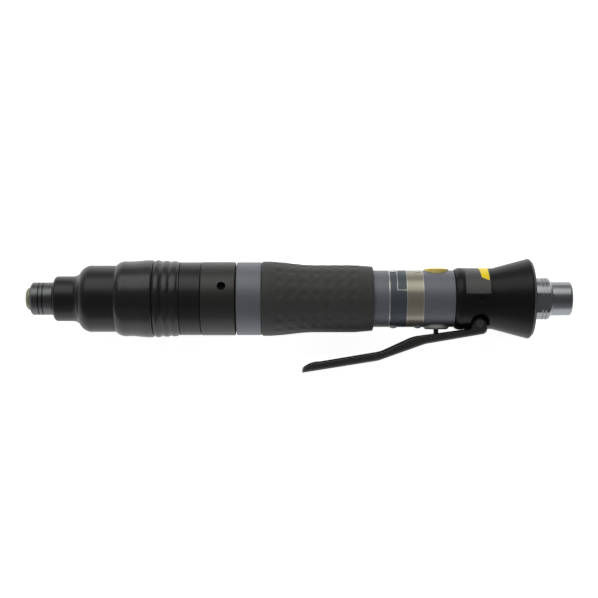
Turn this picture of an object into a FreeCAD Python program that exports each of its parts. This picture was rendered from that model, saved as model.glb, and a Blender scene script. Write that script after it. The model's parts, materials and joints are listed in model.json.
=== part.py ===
import FreeCAD, Part

import math
import os

# A pneumatic inline screwdriver, in millimetres, lying on a table.
#
# The pieces are built in the tool's own directions and rolled into place at the end:
#   X runs along the tool, from the spindle's nose face (0) to the air inlet,
#   Y points away from the lever, and Z points to the side that the name plate is on.
# The finished tool is then rolled about X so that it rests on its ribbed cover,
# on the rim of its exhaust bell and on the edge of its lever.

Vector = FreeCAD.Vector
TOOL_AXIS = Vector(1, 0, 0)
UP = Vector(0, 1, 0)
SIDE = Vector(0, 0, 1)

# Main girth, which the other radii follow
barrel_radius = 15.94
body_radius = barrel_radius * 0.8532
core_radius = body_radius + 0.6

# Fits between pieces, and the share of a rounding that the middle of its arc leaves
running_gap = 0.05
rest_gap = 0.05
roll_angle = 17.5
arc_share = 1 - math.sqrt(0.5)

# Bit holder at the nose: the spindle end, its ball and the pull sleeve
hex_across_flats = 6.35
hex_depth = 20.0
socket_lead = 0.6
nose_radius = 5.45
nose_rounding = 2.0
nose_reach = 2.5
sleeve_length = 10.8
sleeve_radius = 7.85
sleeve_spring_bore = 7.0
sleeve_front_chamfer = 0.8
sleeve_groove_place = 3.8
sleeve_groove_width = 0.6
sleeve_groove_depth = 0.35
sleeve_groove_pitch = 2.0
sleeve_land_length = 3.0
sleeve_back_gap = 0.2
snap_ring_width = 0.7
snap_ring_outer = 6.8
snap_ring_depth = 0.4
bit_ball_radius = 1.5
chuck_spring_space = 3.9
chuck_spring_turns = 2.5
chuck_wire = 0.5

# Clutch housing, the black shell behind the nose
nose_shell_radius = 10.8
nose_shell_length = 8.7
nose_shell_rounding = 1.9
fillet_rise = 2.4
fillet_length = 4.2
shoulder_length = 6.1
bare_barrel_length = 11.0
front_wall = 3.8
barrel_wall = 2.54
chamber_radius = barrel_radius - barrel_wall
spindle_clearance = 0.25
chamber_lead = 3.9
window_width = 11.0
window_length = 6.5

# Spindle bearing and thrust washer
spindle_shaft_radius = 5.0
front_bearing_outer_radius = barrel_radius * 0.596
front_bearing_width = 5.0
bearing_ring_thickness = 1.2
bearing_shield = 0.6
retainer_width = 1.0
retainer_depth = 0.45
retainer_radial = 1.3
thrust_washer_width = 2.0
thrust_washer_inner = front_bearing_outer_radius - 1.2

# Clutch
flange_width = 4.0
chamber_clearance = 0.5
flange_radius = chamber_radius - chamber_clearance
clutch_ball_radius = 2.5
clutch_ball_count = 3
clutch_ball_circle = flange_radius - clutch_ball_radius - 0.6
detent_depth = 1.2
plate_stand_off = 1.0
plate_width = 5.5
drive_shaft_radius = clutch_ball_circle - 3.3
pilot_radius = drive_shaft_radius - 2.5
pilot_length = 6.5
key_width = 2.4
key_depth = 1.2
key_length = 6.8
clutch_spring_radius = (chamber_radius + drive_shaft_radius) / 2
clutch_wire = 2.2
clutch_spring_turns = 4.5
nut_width = 6.0
nut_notches = 8
nut_notch_width = 2.6
nut_notch_depth = 1.6

# Ribbed cover, which slides forward over the bare barrel to open the window
cover_length = 30.4
cover_front_radius = barrel_radius + 0.46
cover_step_radius = barrel_radius + 2.01
cover_body_radius = barrel_radius + 2.61
cover_lip_length = 5.3
cover_ramp_length = 9.0
rib_start = 17.8
rib_pitch = 4.0
rib_heights = (2.59, 2.36, 2.13)
rib_valley = 1.76
o_ring_radius = 0.75
o_ring_place = 10.5

# Lock ring and gear ring
lock_ring_radius = barrel_radius + 1.56
lock_ring_length = 10.2
gear_ring_radius = barrel_radius + 1.66
gear_ring_length = 16.1
ring_seam = 0.1
edge_chamfer = 0.3
hole_radius = 2.05
hole_angle = 70.0
hole_depth = 3.2
hole_place = 9.95

# Two planetary stages with the same teeth, inside the carrier bearing's girth
carrier_bearing_outer_radius = barrel_radius - 1.94
carrier_radius = carrier_bearing_outer_radius - 2.4
gear_module = (carrier_radius + 1.0) / 18
sun_teeth = 12
planet_teeth = 12
ring_teeth = 36
planets = 3
pressure_angle = 25.0
tooth_share = 0.45
addendum = 0.8
dedendum = 1.05
planet_width = 5.4
planet_pin_radius = gear_module * 2.07
carrier_plate = 3.2
input_plate = 2.6
stage_gap = 0.4
pin_stick_out = 0.3
ring_front_land = 3.0

# Carrier bearing
carrier_shaft_radius = carrier_bearing_outer_radius * 0.536
carrier_bearing_width = 7.0

# Air motor
end_plate_radius = core_radius * 0.859
bore_clearance = 0.05
front_plate_width = 6.5
cylinder_length = 30.0
rear_plate_width = 5.5
cylinder_bore = end_plate_radius * 0.844
rotor_offset = 0.95
rotor_radius = cylinder_bore - rotor_offset - running_gap
rotor_end_gap = 0.3
rotor_front_outer = end_plate_radius * 0.779
rotor_front_radius = rotor_front_outer * 0.526
rotor_rear_outer = rotor_front_outer * 0.842
rotor_rear_radius = rotor_rear_outer * 0.5
rotor_front_width = 5.0
rotor_rear_width = 4.0
vane_count = 5
vane_thickness = 1.5
vane_height = 4.8
vane_clearance = 0.05
port_radius = 1.4
port_spacing = 9.0
inlet_port_angle = 40.0
shaft_clearance = 0.8

# Motor housing, grey
front_band_radius = gear_ring_radius - 0.1
front_band_length = 12.0
band_chamfer = 0.5
housing_joint_gap = 0.7
ring_spigot_radius = gear_ring_radius - 2.0
ring_spigot_length = 6.0
rear_band_length = 38.65
tail_radius = body_radius - 3.8
tail_length = 20.75
air_chamber_radius = end_plate_radius - 3.1
air_chamber_length = 4.0
feed_radius = 2.0
feed_drop = air_chamber_radius - feed_radius - 0.3
inlet_passage_radius = 3.6
exhaust_passage_radius = 1.2
exhaust_circle = body_radius - 1.9
exhaust_angles = (45.0, 68.0)

# Rubber grip sleeve
grip_length = 52.9
grip_front_radius = core_radius + 3.65
grip_waist_radius = core_radius + 1.93
grip_rear_radius = core_radius + 1.2
grip_front_straight = 4.0
grip_swell = 13.0
grip_swell_fall = 0.75
grip_swell_bow = 0.3
grip_waist_bow = 0.36
grip_waist_start = 23.5
grip_waist_end = 44.0
grip_edge_rounding = 0.7

# Name plate and its rivets
plate_start = 7.2
plate_length = 16.4
plate_thickness = 0.2
plate_clearance = 0.15
plate_half_angle = 80.0
rivet_inset = 2.4
rivet_half_angle = 75.0
rivet_head_radius = 2.1
rivet_head_height = 0.8
rivet_shank_radius = 0.9
rivet_shank_length = 1.6

# Throttle valve and reversing button in their cross bore
cross_bore_place = 30.3
bushing_flange_radius = 6.15
bushing_flange_bottom = body_radius + 1.05
bushing_flange_seat = body_radius - 1.3
bushing_body_radius = 5.0
bushing_body_end = bushing_flange_seat - 2.7
bushing_chamfer = 0.9
valve_bore_radius = 4.4
valve_seat_bottom = 4.6
valve_seat_top = 3.2
valve_ceiling = 3.6
valve_port_radius = 2.0
valve_head_top = 1.0
valve_cone = 0.7
valve_lift = 0.04
pin_radius = 1.2
throttle_wire = 0.5
throttle_spring_radius = 2.0
throttle_spring_turns = 2.5
button_radius = 6.0
button_edge = body_radius + 0.5
button_bottom = button_edge - 5.5
button_bore_floor = button_bottom - 3.4
button_top = button_edge + 0.9
button_groove_bottom = button_bottom + 1.3
button_groove_width = 1.5
button_groove_depth = 1.1
reverse_spring_radius = 4.0
reverse_spring_turns = 2.5

# Rear housing with the exhaust bell
rear_seam = 0.2
rear_body_length = 18.05
rear_front_radius = body_radius + 0.6
rear_bulge_radius = body_radius + 1.14
rear_body_radius = body_radius + 1.0
rear_bulge_place = 4.0
bell_length = 18.9
bell_rim_radius = body_radius + 5.55
bell_rim_place = 1.9
bell_wall = 1.9
silencer_length = 4.5
tail_gap = 0.05
set_screw_place = 11.55
set_screw_radius = 1.9
set_screw_sink = 0.8
set_screw_hex = 2.0

# Air inlet bushing
collar_radius = body_radius * 0.7316
collar_end_reach = 9.4
collar_chamfer = 1.6
collar_groove_width = 0.6
collar_groove_depth = 0.5
collar_grooves = (1.9, 3.5)
collar_flat = collar_radius - 1.2
collar_flat_length = 8.3
collar_flat_turn = 13.4
nipple_length = 9.7
nipple_radius = collar_radius * 0.814
nipple_rounding = 1.2
inlet_thread_radius = 5.72
inlet_thread_length = 12.0
inlet_relief_radius = 6.0
inlet_relief_width = 0.7
inlet_spigot_radius = 6.5
inlet_spigot_length = 14.0
inlet_bore_radius = 4.5
screen_radius = 5.2
screen_thickness = 0.8
screen_hole_radius = 1.0
screen_holes = 5

# Lever, a pressed channel on a cross screw
lever_width = 17.2
lever_sheet = 1.5
lever_bend_radius = 2.0
pivot_place = 11.45
pivot_drop = body_radius - 1.9
ear_radius = 3.7
pocket_reach = 8.0
pocket_radius = 4.6
pivot_screw_radius = 1.5
pivot_head_radius = 1.85
pivot_head_depth = 0.8
pivot_hex = 2.0
lever_rear_fall = 4.8
lever_rear_drop = pivot_drop + lever_rear_fall
lever_second_bend_reach = 25.6
lever_second_bend_fall = 9.8
lever_second_bend_drop = pivot_drop + lever_second_bend_fall
lever_middle_slope = 0.355
lever_middle_run = 22.4
lever_first_bend_reach = lever_second_bend_reach + lever_middle_run
lever_first_bend_drop = lever_second_bend_drop + lever_middle_run * lever_middle_slope
lever_front_slope = 0.159
lever_front_run = 36.1
lever_tip_reach = lever_first_bend_reach + lever_front_run
lever_tip_drop = lever_first_bend_drop + lever_front_run * lever_front_slope
lever_tip_run = 8.5
lever_bend = 12.0
wall_bend = 17.0
ear_corner = 2.5
wall_tip_reach = lever_tip_reach - lever_tip_run
wall_tip_height = 4.75
wall_tip_drop = lever_tip_drop - wall_tip_height
wall_first_bend_shift = 1.8
wall_first_bend_height = 3.9
wall_first_bend_reach = lever_first_bend_reach - wall_first_bend_shift
wall_first_bend_drop = lever_first_bend_drop - wall_first_bend_height
wall_second_bend_shift = 4.8
wall_second_bend_height = 3.2
wall_second_bend_reach = lever_second_bend_reach + wall_second_bend_shift
wall_second_bend_drop = lever_second_bend_drop - wall_second_bend_height
wall_rear_reach = 5.0
wall_rear_fall = 3.15
wall_rear_drop = pivot_drop + wall_rear_fall
lever_tip_corner = 3.0
pin_end_gap = 0.05

# Stations along the tool, each one added to the last
shell_front = nose_reach + sleeve_length + sleeve_back_gap
shell_nose_end = shell_front + nose_shell_length
shoulder_start = shell_nose_end + fillet_length
barrel_start = shoulder_start + shoulder_length
cover_front = barrel_start + bare_barrel_length
cover_rear = cover_front + cover_length
lock_rear = cover_rear + lock_ring_length
gear_front = lock_rear
gear_rear = gear_front + gear_ring_length
motor_front = gear_rear + housing_joint_gap
grip_front = motor_front + front_band_length
grip_rear = grip_front + grip_length
motor_rear = grip_rear + rear_band_length
rear_front = motor_rear + rear_seam
bell_start = rear_front + rear_body_length
bell_rear = bell_start + bell_length
tail_rear = motor_rear + tail_length
collar_rear = bell_rear + collar_end_reach
inlet_face = collar_rear + nipple_length
cross_bore_x = grip_rear + cross_bore_place
pivot_x = rear_front + pivot_place

# Stations inside
bearing_front = shell_front + front_wall
bearing_rear = bearing_front + front_bearing_width
retainer_rear = bearing_rear + retainer_width
chamber_front = barrel_start - chamber_lead
flange_front = chamber_front + thrust_washer_width + 2 * rest_gap
flange_rear = flange_front + flange_width
clutch_ball_x = flange_rear + clutch_ball_radius - detent_depth
plate_front = flange_rear + plate_stand_off
plate_rear = plate_front + plate_width
carrier_bearing_rear = gear_front - ring_front_land
carrier_bearing_front = carrier_bearing_rear - carrier_bearing_width
nut_rear = carrier_bearing_front - ring_front_land - 1.0
nut_front = nut_rear - nut_width
carrier_front = carrier_bearing_rear + 1.0
carrier_rear = carrier_front + carrier_plate
output_front = carrier_rear + stage_gap
output_rear = output_front + planet_width
input_plate_front = output_rear + pin_stick_out + stage_gap
input_plate_rear = input_plate_front + input_plate
input_front = input_plate_rear + stage_gap
input_rear = input_front + planet_width
tooth_rear = input_rear + pin_stick_out + stage_gap
spigot_rear = gear_rear + ring_spigot_length
stack_front = spigot_rear + rest_gap
cylinder_front = stack_front + front_plate_width
cylinder_rear = cylinder_front + cylinder_length
stack_rear = cylinder_rear + rear_plate_width
centre_distance = gear_module * (sun_teeth + planet_teeth) / 2
stack_bore = end_plate_radius + bore_clearance
carrier_bore = carrier_bearing_outer_radius + 0.01
shaft_front = flange_rear - pilot_length


# Drawing helpers

def outline_edges(corners, place):
    """Edges of a closed outline. A corner of four numbers is an arc: a point on it, then its end."""
    edges = []
    here = corners[0][-2:]
    for corner in corners[1:] + corners[:1]:
        target = corner[-2:]
        if len(corner) == 4:
            arc = Part.Arc(place(*here), place(*corner[:2]), place(*target))
            edges.append(arc.toShape())
        elif here != target:
            edges.append(Part.LineSegment(place(*here), place(*target)).toShape())
        here = target
    return edges


def turned(*corners):
    """A solid turned about the tool axis from an outline of (x, radius) corners."""
    edges = outline_edges(list(corners), lambda x, r: Vector(x, r, 0))
    return Part.Face(Part.Wire(edges)).revolve(Vector(0, 0, 0), TOOL_AXIS, 360)


def ring(front, rear, outer, inner):
    """A plain ring on the tool axis."""
    return rod(front, rear, outer).cut(rod(front - 1, rear + 1, inner))


def rod(front, rear, radius):
    """A plain round bar on the tool axis."""
    return Part.makeCylinder(radius, rear - front, Vector(front, 0, 0), TOOL_AXIS)


def upright(low, high, radius, x=None):
    """A round bar across the tool, along Y, on the cross bore's axis unless x says otherwise."""
    place = cross_bore_x if x is None else x
    return Part.makeCylinder(radius, high - low, Vector(place, low, 0), UP)


def across(low, high, radius, x, y):
    """A round bar along Z."""
    return Part.makeCylinder(radius, high - low, Vector(x, y, low), SIDE)


def block(low, high):
    """A box from its lowest to its highest corner."""
    size = Vector(*high) - Vector(*low)
    return Part.makeBox(size.x, size.y, size.z, Vector(*low))


def prism(points, front, rear):
    """A prism along X from (y, z) points."""
    corners = [Vector(front, y, z) for y, z in points]
    return Part.Face(Part.makePolygon(corners + corners[:1])).extrude(TOOL_AXIS * (rear - front))


def hexagon(flats, front, rear):
    """A hexagonal prism along X."""
    radius = flats / math.sqrt(3)
    return prism([polar(radius, 60 * i) for i in range(6)], front, rear)


def polar(radius, degrees):
    """(y, z) at an angle from Y towards Z."""
    angle = math.radians(degrees)
    return radius * math.cos(angle), radius * math.sin(angle)


def about_axis(shape, degrees):
    """A copy turned about the tool axis, from Y towards Z."""
    copy = shape.copy()
    copy.rotate(Vector(0, 0, 0), TOOL_AXIS, degrees)
    return copy


def coil(length, radius, wire, turns):
    """A spring of square wire along Z, from 0 to length, outside to outside."""
    rise = length - wire
    helix = Part.makeHelix(rise / turns, rise, radius)
    helix.translate(Vector(0, 0, wire / 2))
    half = wire / 2
    section = [Vector(radius - half, 0, 0), Vector(radius + half, 0, 0),
               Vector(radius + half, 0, wire), Vector(radius - half, 0, wire)]
    profile = Part.makePolygon(section + section[:1])
    return Part.Wire(helix.Edges).makePipeShell([profile], True, True)


def coil_along(direction, start, length, radius, wire, turns):
    """A spring placed at a point and laid along a direction."""
    spring = coil(length, radius, wire, turns)
    spring.Placement = FreeCAD.Placement(start, FreeCAD.Rotation(SIDE, direction))
    return spring


def cut_all(shape, *tools):
    for tool in tools:
        shape = shape.cut(tool)
    return shape


def bearing_outer(front, width, inner, outer):
    """The outer ring of a sealed bearing, with a shield on each side of its ball track."""
    shield = bearing_shield
    lip = inner + bearing_ring_thickness + 0.1
    race = outer - bearing_ring_thickness
    rear = front + width
    return turned((front, lip), (front, outer), (rear, outer), (rear, lip),
                  (rear - shield, lip), (rear - shield, race),
                  (front + shield, race), (front + shield, lip))


def bearing_inner(front, width, inner):
    """The inner ring of a sealed bearing."""
    return ring(front, front + width, inner + bearing_ring_thickness, inner)


# Nose: spindle, bit ball, sleeve and its spring

snap_ring_front = nose_reach + 0.9
chuck_spring_front = snap_ring_front + snap_ring_width + rest_gap
land_front = chuck_spring_front + chuck_spring_space
land_rear = land_front + sleeve_land_length
ball_x = land_front + sleeve_land_length / 2
ball_seat_radius = nose_radius - bit_ball_radius


def make_spindle():
    """Driven spindle: bit socket, bearing seat and the clutch flange with its ball detents."""
    hub_radius = thrust_washer_inner - 1.0
    body = turned((0, 0), (0, nose_radius - nose_rounding),
                  (nose_rounding * arc_share, nose_radius - nose_rounding * arc_share,
                   nose_rounding, nose_radius),
                  (bearing_front, nose_radius), (bearing_front, spindle_shaft_radius),
                  (retainer_rear + 0.6, spindle_shaft_radius), (retainer_rear + 0.6, hub_radius),
                  (flange_front, hub_radius), (flange_front, flange_radius),
                  (flange_rear, flange_radius), (flange_rear, 0))
    socket = hexagon(hex_across_flats, -1, hex_depth)
    mouth = Part.makeCone(hex_across_flats / math.sqrt(3) + 0.3, hex_across_flats / 2, socket_lead,
                          Vector(-0.1, 0, 0), TOOL_AXIS)
    pilot = rod(shaft_front - rest_gap, flange_rear + 1, pilot_radius + running_gap)
    groove = ring(snap_ring_front - rest_gap, snap_ring_front + snap_ring_width + rest_gap,
                  nose_radius + 1, nose_radius - snap_ring_depth)
    ball_hole = upright(0, nose_radius + 1, bit_ball_radius + running_gap, ball_x)
    detent = Part.makeSphere(clutch_ball_radius + running_gap,
                             Vector(clutch_ball_x, clutch_ball_circle, 0))
    detents = [about_axis(detent, 360 / clutch_ball_count * i) for i in range(clutch_ball_count)]
    return cut_all(body, socket, mouth, pilot, groove, ball_hole, *detents)


def make_bit_ball():
    return Part.makeSphere(bit_ball_radius, Vector(ball_x, ball_seat_radius, 0))


def make_chuck_sleeve():
    """Pull sleeve: spring space, ball land and release recess inside, two grip grooves outside."""
    front = nose_reach
    rear = nose_reach + sleeve_length
    chamfer = sleeve_front_chamfer
    release_radius = sleeve_spring_bore - 0.4
    body = turned((front, sleeve_spring_bore), (front, sleeve_radius - chamfer),
                  (front + chamfer, sleeve_radius), (rear - 0.3, sleeve_radius),
                  (rear, sleeve_radius - 0.3), (rear, release_radius),
                  (land_rear, release_radius), (land_rear, nose_radius + running_gap),
                  (land_front, nose_radius + running_gap), (land_front, sleeve_spring_bore))
    for i in range(2):
        start = front + sleeve_groove_place + i * sleeve_groove_pitch
        body = body.cut(ring(start, start + sleeve_groove_width, sleeve_radius + 1,
                             sleeve_radius - sleeve_groove_depth))
    return body


def make_chuck_spring():
    middle = (nose_radius + sleeve_spring_bore) / 2
    return coil_along(TOOL_AXIS, Vector(chuck_spring_front, 0, 0),
                      chuck_spring_space - rest_gap, middle, chuck_wire, chuck_spring_turns)


def make_chuck_snap_ring():
    """Split ring in the spindle's groove, the front stop of the sleeve spring."""
    washer = ring(snap_ring_front, snap_ring_front + snap_ring_width, snap_ring_outer,
                  nose_radius - snap_ring_depth + running_gap)
    split = block((snap_ring_front - 1, -snap_ring_outer - 1, -0.8),
                  (snap_ring_front + 2, 0, 0.8))
    return washer.cut(split)


# Clutch housing and what it holds

def make_clutch_housing():
    """Black front shell: round nose, concave sweep, domed shoulder and the bare barrel."""
    fillet_top = nose_shell_radius + fillet_rise
    shoulder_mid = (shoulder_start + 0.36 * shoulder_length,
                    fillet_top + 0.74 * (barrel_radius - fillet_top))
    fillet_mid = (shell_nose_end + 0.6 * fillet_length, nose_shell_radius + 0.27 * fillet_rise)
    rounding = nose_shell_rounding
    hole = nose_radius + spindle_clearance
    pocket = front_bearing_outer_radius + 0.01
    rear = lock_rear - rest_gap
    body = turned((shell_front, hole), (shell_front, nose_shell_radius - rounding),
                  (shell_front + rounding * arc_share, nose_shell_radius - rounding * arc_share,
                   shell_front + rounding, nose_shell_radius),
                  (shell_nose_end, nose_shell_radius),
                  fillet_mid + (shoulder_start, fillet_top),
                  shoulder_mid + (barrel_start, barrel_radius),
                  (rear, barrel_radius), (rear, carrier_bore),
                  (carrier_bearing_front, carrier_bore), (carrier_bearing_front, chamber_radius),
                  (chamber_front + 1.0, chamber_radius), (chamber_front, chamber_radius - 1.0),
                  (chamber_front, pocket), (bearing_front, pocket), (bearing_front, hole))
    groove = ring(bearing_rear, retainer_rear, front_bearing_outer_radius + retainer_depth, 1)
    o_ring_x = cover_front + o_ring_place
    o_ring_groove = ring(o_ring_x - o_ring_radius - 0.1, o_ring_x + o_ring_radius + 0.1,
                         barrel_radius + 1, barrel_radius - 2 * o_ring_radius + running_gap)
    middle = (nut_front + nut_rear) / 2
    window = block((middle - window_length / 2, 0, -window_width / 2),
                   (middle + window_length / 2, barrel_radius + 1, window_width / 2))
    return cut_all(body, groove, o_ring_groove, window)


def make_bearing_retainer():
    """Split retaining ring behind the spindle bearing."""
    outer = front_bearing_outer_radius + retainer_depth - running_gap
    washer = ring(bearing_rear + 0.02, retainer_rear - 0.02, outer,
                  front_bearing_outer_radius - retainer_radial)
    split = block((bearing_rear - 1, -outer - 1, -1.5), (retainer_rear + 1, 0, 1.5))
    return washer.cut(split)


def make_thrust_washer():
    """Low-friction washer between the housing step and the clutch flange."""
    return ring(chamber_front + rest_gap, chamber_front + rest_gap + thrust_washer_width,
                chamber_radius - 1.0 - rest_gap, thrust_washer_inner)


def make_cover_o_ring():
    """Ring that holds the sliding cover by friction."""
    x = cover_front + o_ring_place
    centre = barrel_radius - o_ring_radius + running_gap / 2
    return Part.makeTorus(centre, o_ring_radius - running_gap / 2, Vector(x, 0, 0), TOOL_AXIS)


def make_clutch_cover():
    """Smooth black cover with three ribs at its rear end."""
    bore = barrel_radius + running_gap
    front = cover_front
    rear = cover_rear - ring_seam
    step_start = front + cover_lip_length
    ramp_end = step_start + cover_ramp_length
    ribs = front + rib_start
    corners = [(front, bore), (front, cover_front_radius),
               (front + 0.3 * cover_lip_length, cover_front_radius + 0.68 *
                (cover_step_radius - cover_front_radius), step_start, cover_step_radius),
               (step_start + cover_ramp_length / 3, cover_step_radius + 0.05),
               (ramp_end, cover_body_radius), (ribs - 1.1, cover_body_radius),
               (ribs - 0.4, cover_body_radius - 0.2, ribs, barrel_radius + rib_valley)]
    for i, height in enumerate(rib_heights):
        start = ribs + i * rib_pitch
        end = min(start + rib_pitch, rear)
        valley = rib_valley if i < len(rib_heights) - 1 else rib_valley - 0.2
        corners.append(((start + end) / 2, barrel_radius + height, end, barrel_radius + valley))
    corners += [(rear, corners[-1][-1]), (rear, bore)]
    return turned(*corners)


def make_lock_ring():
    """Plain ring screwed on the barrel behind the cover."""
    front = cover_rear
    rear = lock_rear - ring_seam
    c = edge_chamfer
    return turned((front, barrel_radius), (front, lock_ring_radius - c),
                  (front + c, lock_ring_radius), (rear - c, lock_ring_radius),
                  (rear, lock_ring_radius - c), (rear, barrel_radius))


# Clutch pieces

def make_clutch_plate():
    """Sliding half of the clutch: holds the balls, and rides on two keys of the drive shaft."""
    body = ring(plate_front, plate_rear, flange_radius, drive_shaft_radius + running_gap)
    pocket = Part.makeCylinder(clutch_ball_radius + running_gap,
                               clutch_ball_x + clutch_ball_radius + rest_gap - plate_front + 1,
                               Vector(plate_front - 1, clutch_ball_circle, 0), TOOL_AXIS)
    for i in range(clutch_ball_count):
        body = body.cut(about_axis(pocket, 360 / clutch_ball_count * i))
    reach = drive_shaft_radius + key_depth + running_gap
    half = key_width / 2 + running_gap
    keyway = block((plate_front - 1, -reach, -half), (plate_rear + 1, reach, half))
    return body.cut(about_axis(keyway, 90))


def make_clutch_balls():
    ball = Part.makeSphere(clutch_ball_radius, Vector(clutch_ball_x, clutch_ball_circle, 0))
    return Part.makeCompound([about_axis(ball, 360 / clutch_ball_count * i)
                              for i in range(clutch_ball_count)])


def make_clutch_spring():
    start = plate_rear + rest_gap
    return coil_along(TOOL_AXIS, Vector(start, 0, 0), nut_front - start - rest_gap,
                      clutch_spring_radius, clutch_wire, clutch_spring_turns)


def key_block(grow):
    """The space of one drive key, grown on every side."""
    inner = drive_shaft_radius - key_depth
    outer = drive_shaft_radius + key_depth
    start = plate_front + 0.3
    return block((start - grow, inner - grow, -key_width / 2 - grow),
                 (start + key_length + grow, outer + grow, key_width / 2 + grow))


def make_drive_keys():
    key = key_block(0)
    return Part.makeCompound([about_axis(key, 90), about_axis(key, 270)])


def make_adjusting_nut():
    """Notched nut that sets the clutch spring's load, reached through the window."""
    outer = chamber_radius - chamber_clearance
    body = ring(nut_front, nut_rear, outer, drive_shaft_radius)
    notch = block((nut_front - 1, outer - nut_notch_depth, -nut_notch_width / 2),
                  (nut_rear + 1, outer + 1, nut_notch_width / 2))
    for i in range(nut_notches):
        body = body.cut(about_axis(notch, 360 / nut_notches * i))
    return body


# Gears

def gear_outline(teeth, share, top, bottom):
    """(y, z) corners of a spur gear: straight chords of its involute flanks."""
    pitch_radius = gear_module * teeth / 2
    base_radius = pitch_radius * math.cos(math.radians(pressure_angle))
    involute = math.tan(math.radians(pressure_angle)) - math.radians(pressure_angle)

    def half_angle(radius):
        turn = math.acos(min(1.0, base_radius / radius))
        return math.degrees(math.pi * share / teeth + involute - math.tan(turn) + turn)

    tip = pitch_radius + top * gear_module
    root = pitch_radius - bottom * gear_module
    foot = half_angle(max(root, base_radius))
    crest = half_angle(tip)
    points = []
    for i in range(teeth):
        centre = 360 / teeth * i
        points += [polar(root, centre - foot), polar(tip, centre - crest),
                   polar(tip, centre + crest), polar(root, centre + foot)]
    return points


def spur_gear(teeth, front, rear):
    return prism(gear_outline(teeth, tooth_share, addendum, dedendum), front, rear)


def make_gear_ring():
    """Dark steel ring with the internal teeth of both stages and a blind hole for a spanner."""
    front = gear_front
    c = edge_chamfer
    land = carrier_radius + 0.4
    rear_land = stack_bore - 0.35
    body = turned((front - ring_front_land, land),
                  (front - ring_front_land, carrier_bearing_outer_radius),
                  (front, carrier_bearing_outer_radius), (front, gear_ring_radius - c),
                  (front + c, gear_ring_radius), (gear_rear - c, gear_ring_radius),
                  (gear_rear, gear_ring_radius - c), (gear_rear, ring_spigot_radius),
                  (spigot_rear, ring_spigot_radius), (spigot_rear, rear_land),
                  (tooth_rear, rear_land), (tooth_rear, land - 0.6), (front, land - 0.6),
                  (front, land))
    clear = carrier_rear + stage_gap / 2
    spaces = prism(gear_outline(ring_teeth, 1 - tooth_share, dedendum, addendum),
                   clear, tooth_rear)
    teeth = about_axis(spaces, 180 / ring_teeth)
    entry = rod(front - 1, clear, land)
    hole = Part.makeCylinder(hole_radius, hole_depth + 1,
                             Vector(gear_front + hole_place, gear_ring_radius - hole_depth, 0), UP)
    return cut_all(body, teeth, entry, about_axis(hole, hole_angle))


def planet_place(index):
    return 360 / planets * index


def make_planet(front, index):
    """One planet wheel, turned half a tooth so that it meshes with the sun and the ring."""
    wheel = spur_gear(planet_teeth, front, front + planet_width)
    wheel = about_axis(wheel, 180 / planet_teeth)
    bore = rod(front - 1, front + planet_width + 1, planet_pin_radius + running_gap)
    wheel = wheel.cut(bore)
    wheel.translate(Vector(0, centre_distance, 0))
    return about_axis(wheel, planet_place(index))


def make_planet_pins(front, rear):
    pin = Part.makeCylinder(planet_pin_radius, rear - front,
                            Vector(front, centre_distance, 0), TOOL_AXIS)
    return Part.makeCompound([about_axis(pin, planet_place(i)) for i in range(planets)])


def pin_holes(front, rear):
    return [about_axis(Part.makeCylinder(planet_pin_radius, rear - front,
                                         Vector(front, centre_distance, 0), TOOL_AXIS),
                       planet_place(i)) for i in range(planets)]


def make_output_carrier():
    """Carrier of the output stage with the long drive shaft that carries the clutch."""
    body = turned((shaft_front, 0), (shaft_front, pilot_radius),
                  (flange_rear + rest_gap, pilot_radius),
                  (flange_rear + rest_gap, drive_shaft_radius),
                  (nut_rear + 0.3, drive_shaft_radius), (nut_rear + 0.3, carrier_shaft_radius),
                  (carrier_bearing_rear, carrier_shaft_radius),
                  (carrier_bearing_rear, carrier_shaft_radius + 1.1),
                  (carrier_front, carrier_shaft_radius + 1.1), (carrier_front, carrier_radius),
                  (carrier_rear, carrier_radius), (carrier_rear, 0))
    keys = key_block(running_gap / 2)
    keyways = [about_axis(keys, 90), about_axis(keys, 270)]
    return cut_all(body, *keyways, *pin_holes(carrier_front - 1, carrier_rear + 1))


def make_input_carrier():
    """Carrier of the input stage, in one piece with the sun gear of the output stage."""
    plate = rod(input_plate_front, input_plate_rear, carrier_radius)
    sun = spur_gear(sun_teeth, output_front, input_plate_front + 0.1)
    holes = pin_holes(input_plate_front - 1, input_plate_rear + 1)
    return cut_all(plate.fuse(sun), *holes)


# Air motor

def make_rotor():
    """Slotted rotor with its pinion, which is the sun gear of the input stage."""
    front = cylinder_front + rotor_end_gap
    rear = cylinder_rear - rotor_end_gap
    bearing = stack_front + rotor_front_width
    shaft = turned((input_rear + 0.6, 0), (input_rear + 0.6, rotor_front_radius),
                   (bearing, rotor_front_radius), (bearing, rotor_front_radius + 0.5),
                   (front, rotor_front_radius + 0.5), (front, rotor_radius),
                   (rear, rotor_radius), (rear, rotor_rear_radius + 0.5),
                   (stack_rear - rotor_rear_width, rotor_rear_radius + 0.5),
                   (stack_rear - rotor_rear_width, rotor_rear_radius),
                   (stack_rear, rotor_rear_radius), (stack_rear, 0))
    pinion = spur_gear(sun_teeth, input_front, input_rear + 0.7)
    body = shaft.fuse(pinion)
    floor = rotor_radius - vane_height - 0.3
    half = vane_thickness / 2 + vane_clearance
    slot = block((front - 0.01, floor, -half), (rear + 0.01, rotor_radius + 1, half))
    return cut_all(body, *[about_axis(slot, 360 / vane_count * i) for i in range(vane_count)])


def make_rotor_vanes():
    """Vanes, drawn fully in, level with the rotor."""
    half = vane_thickness / 2
    top = rotor_radius - 0.1
    vane = block((cylinder_front + rotor_end_gap, top - vane_height, -half),
                 (cylinder_rear - rotor_end_gap, top, half))
    return Part.makeCompound([about_axis(vane, 360 / vane_count * i) for i in range(vane_count)])


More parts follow.
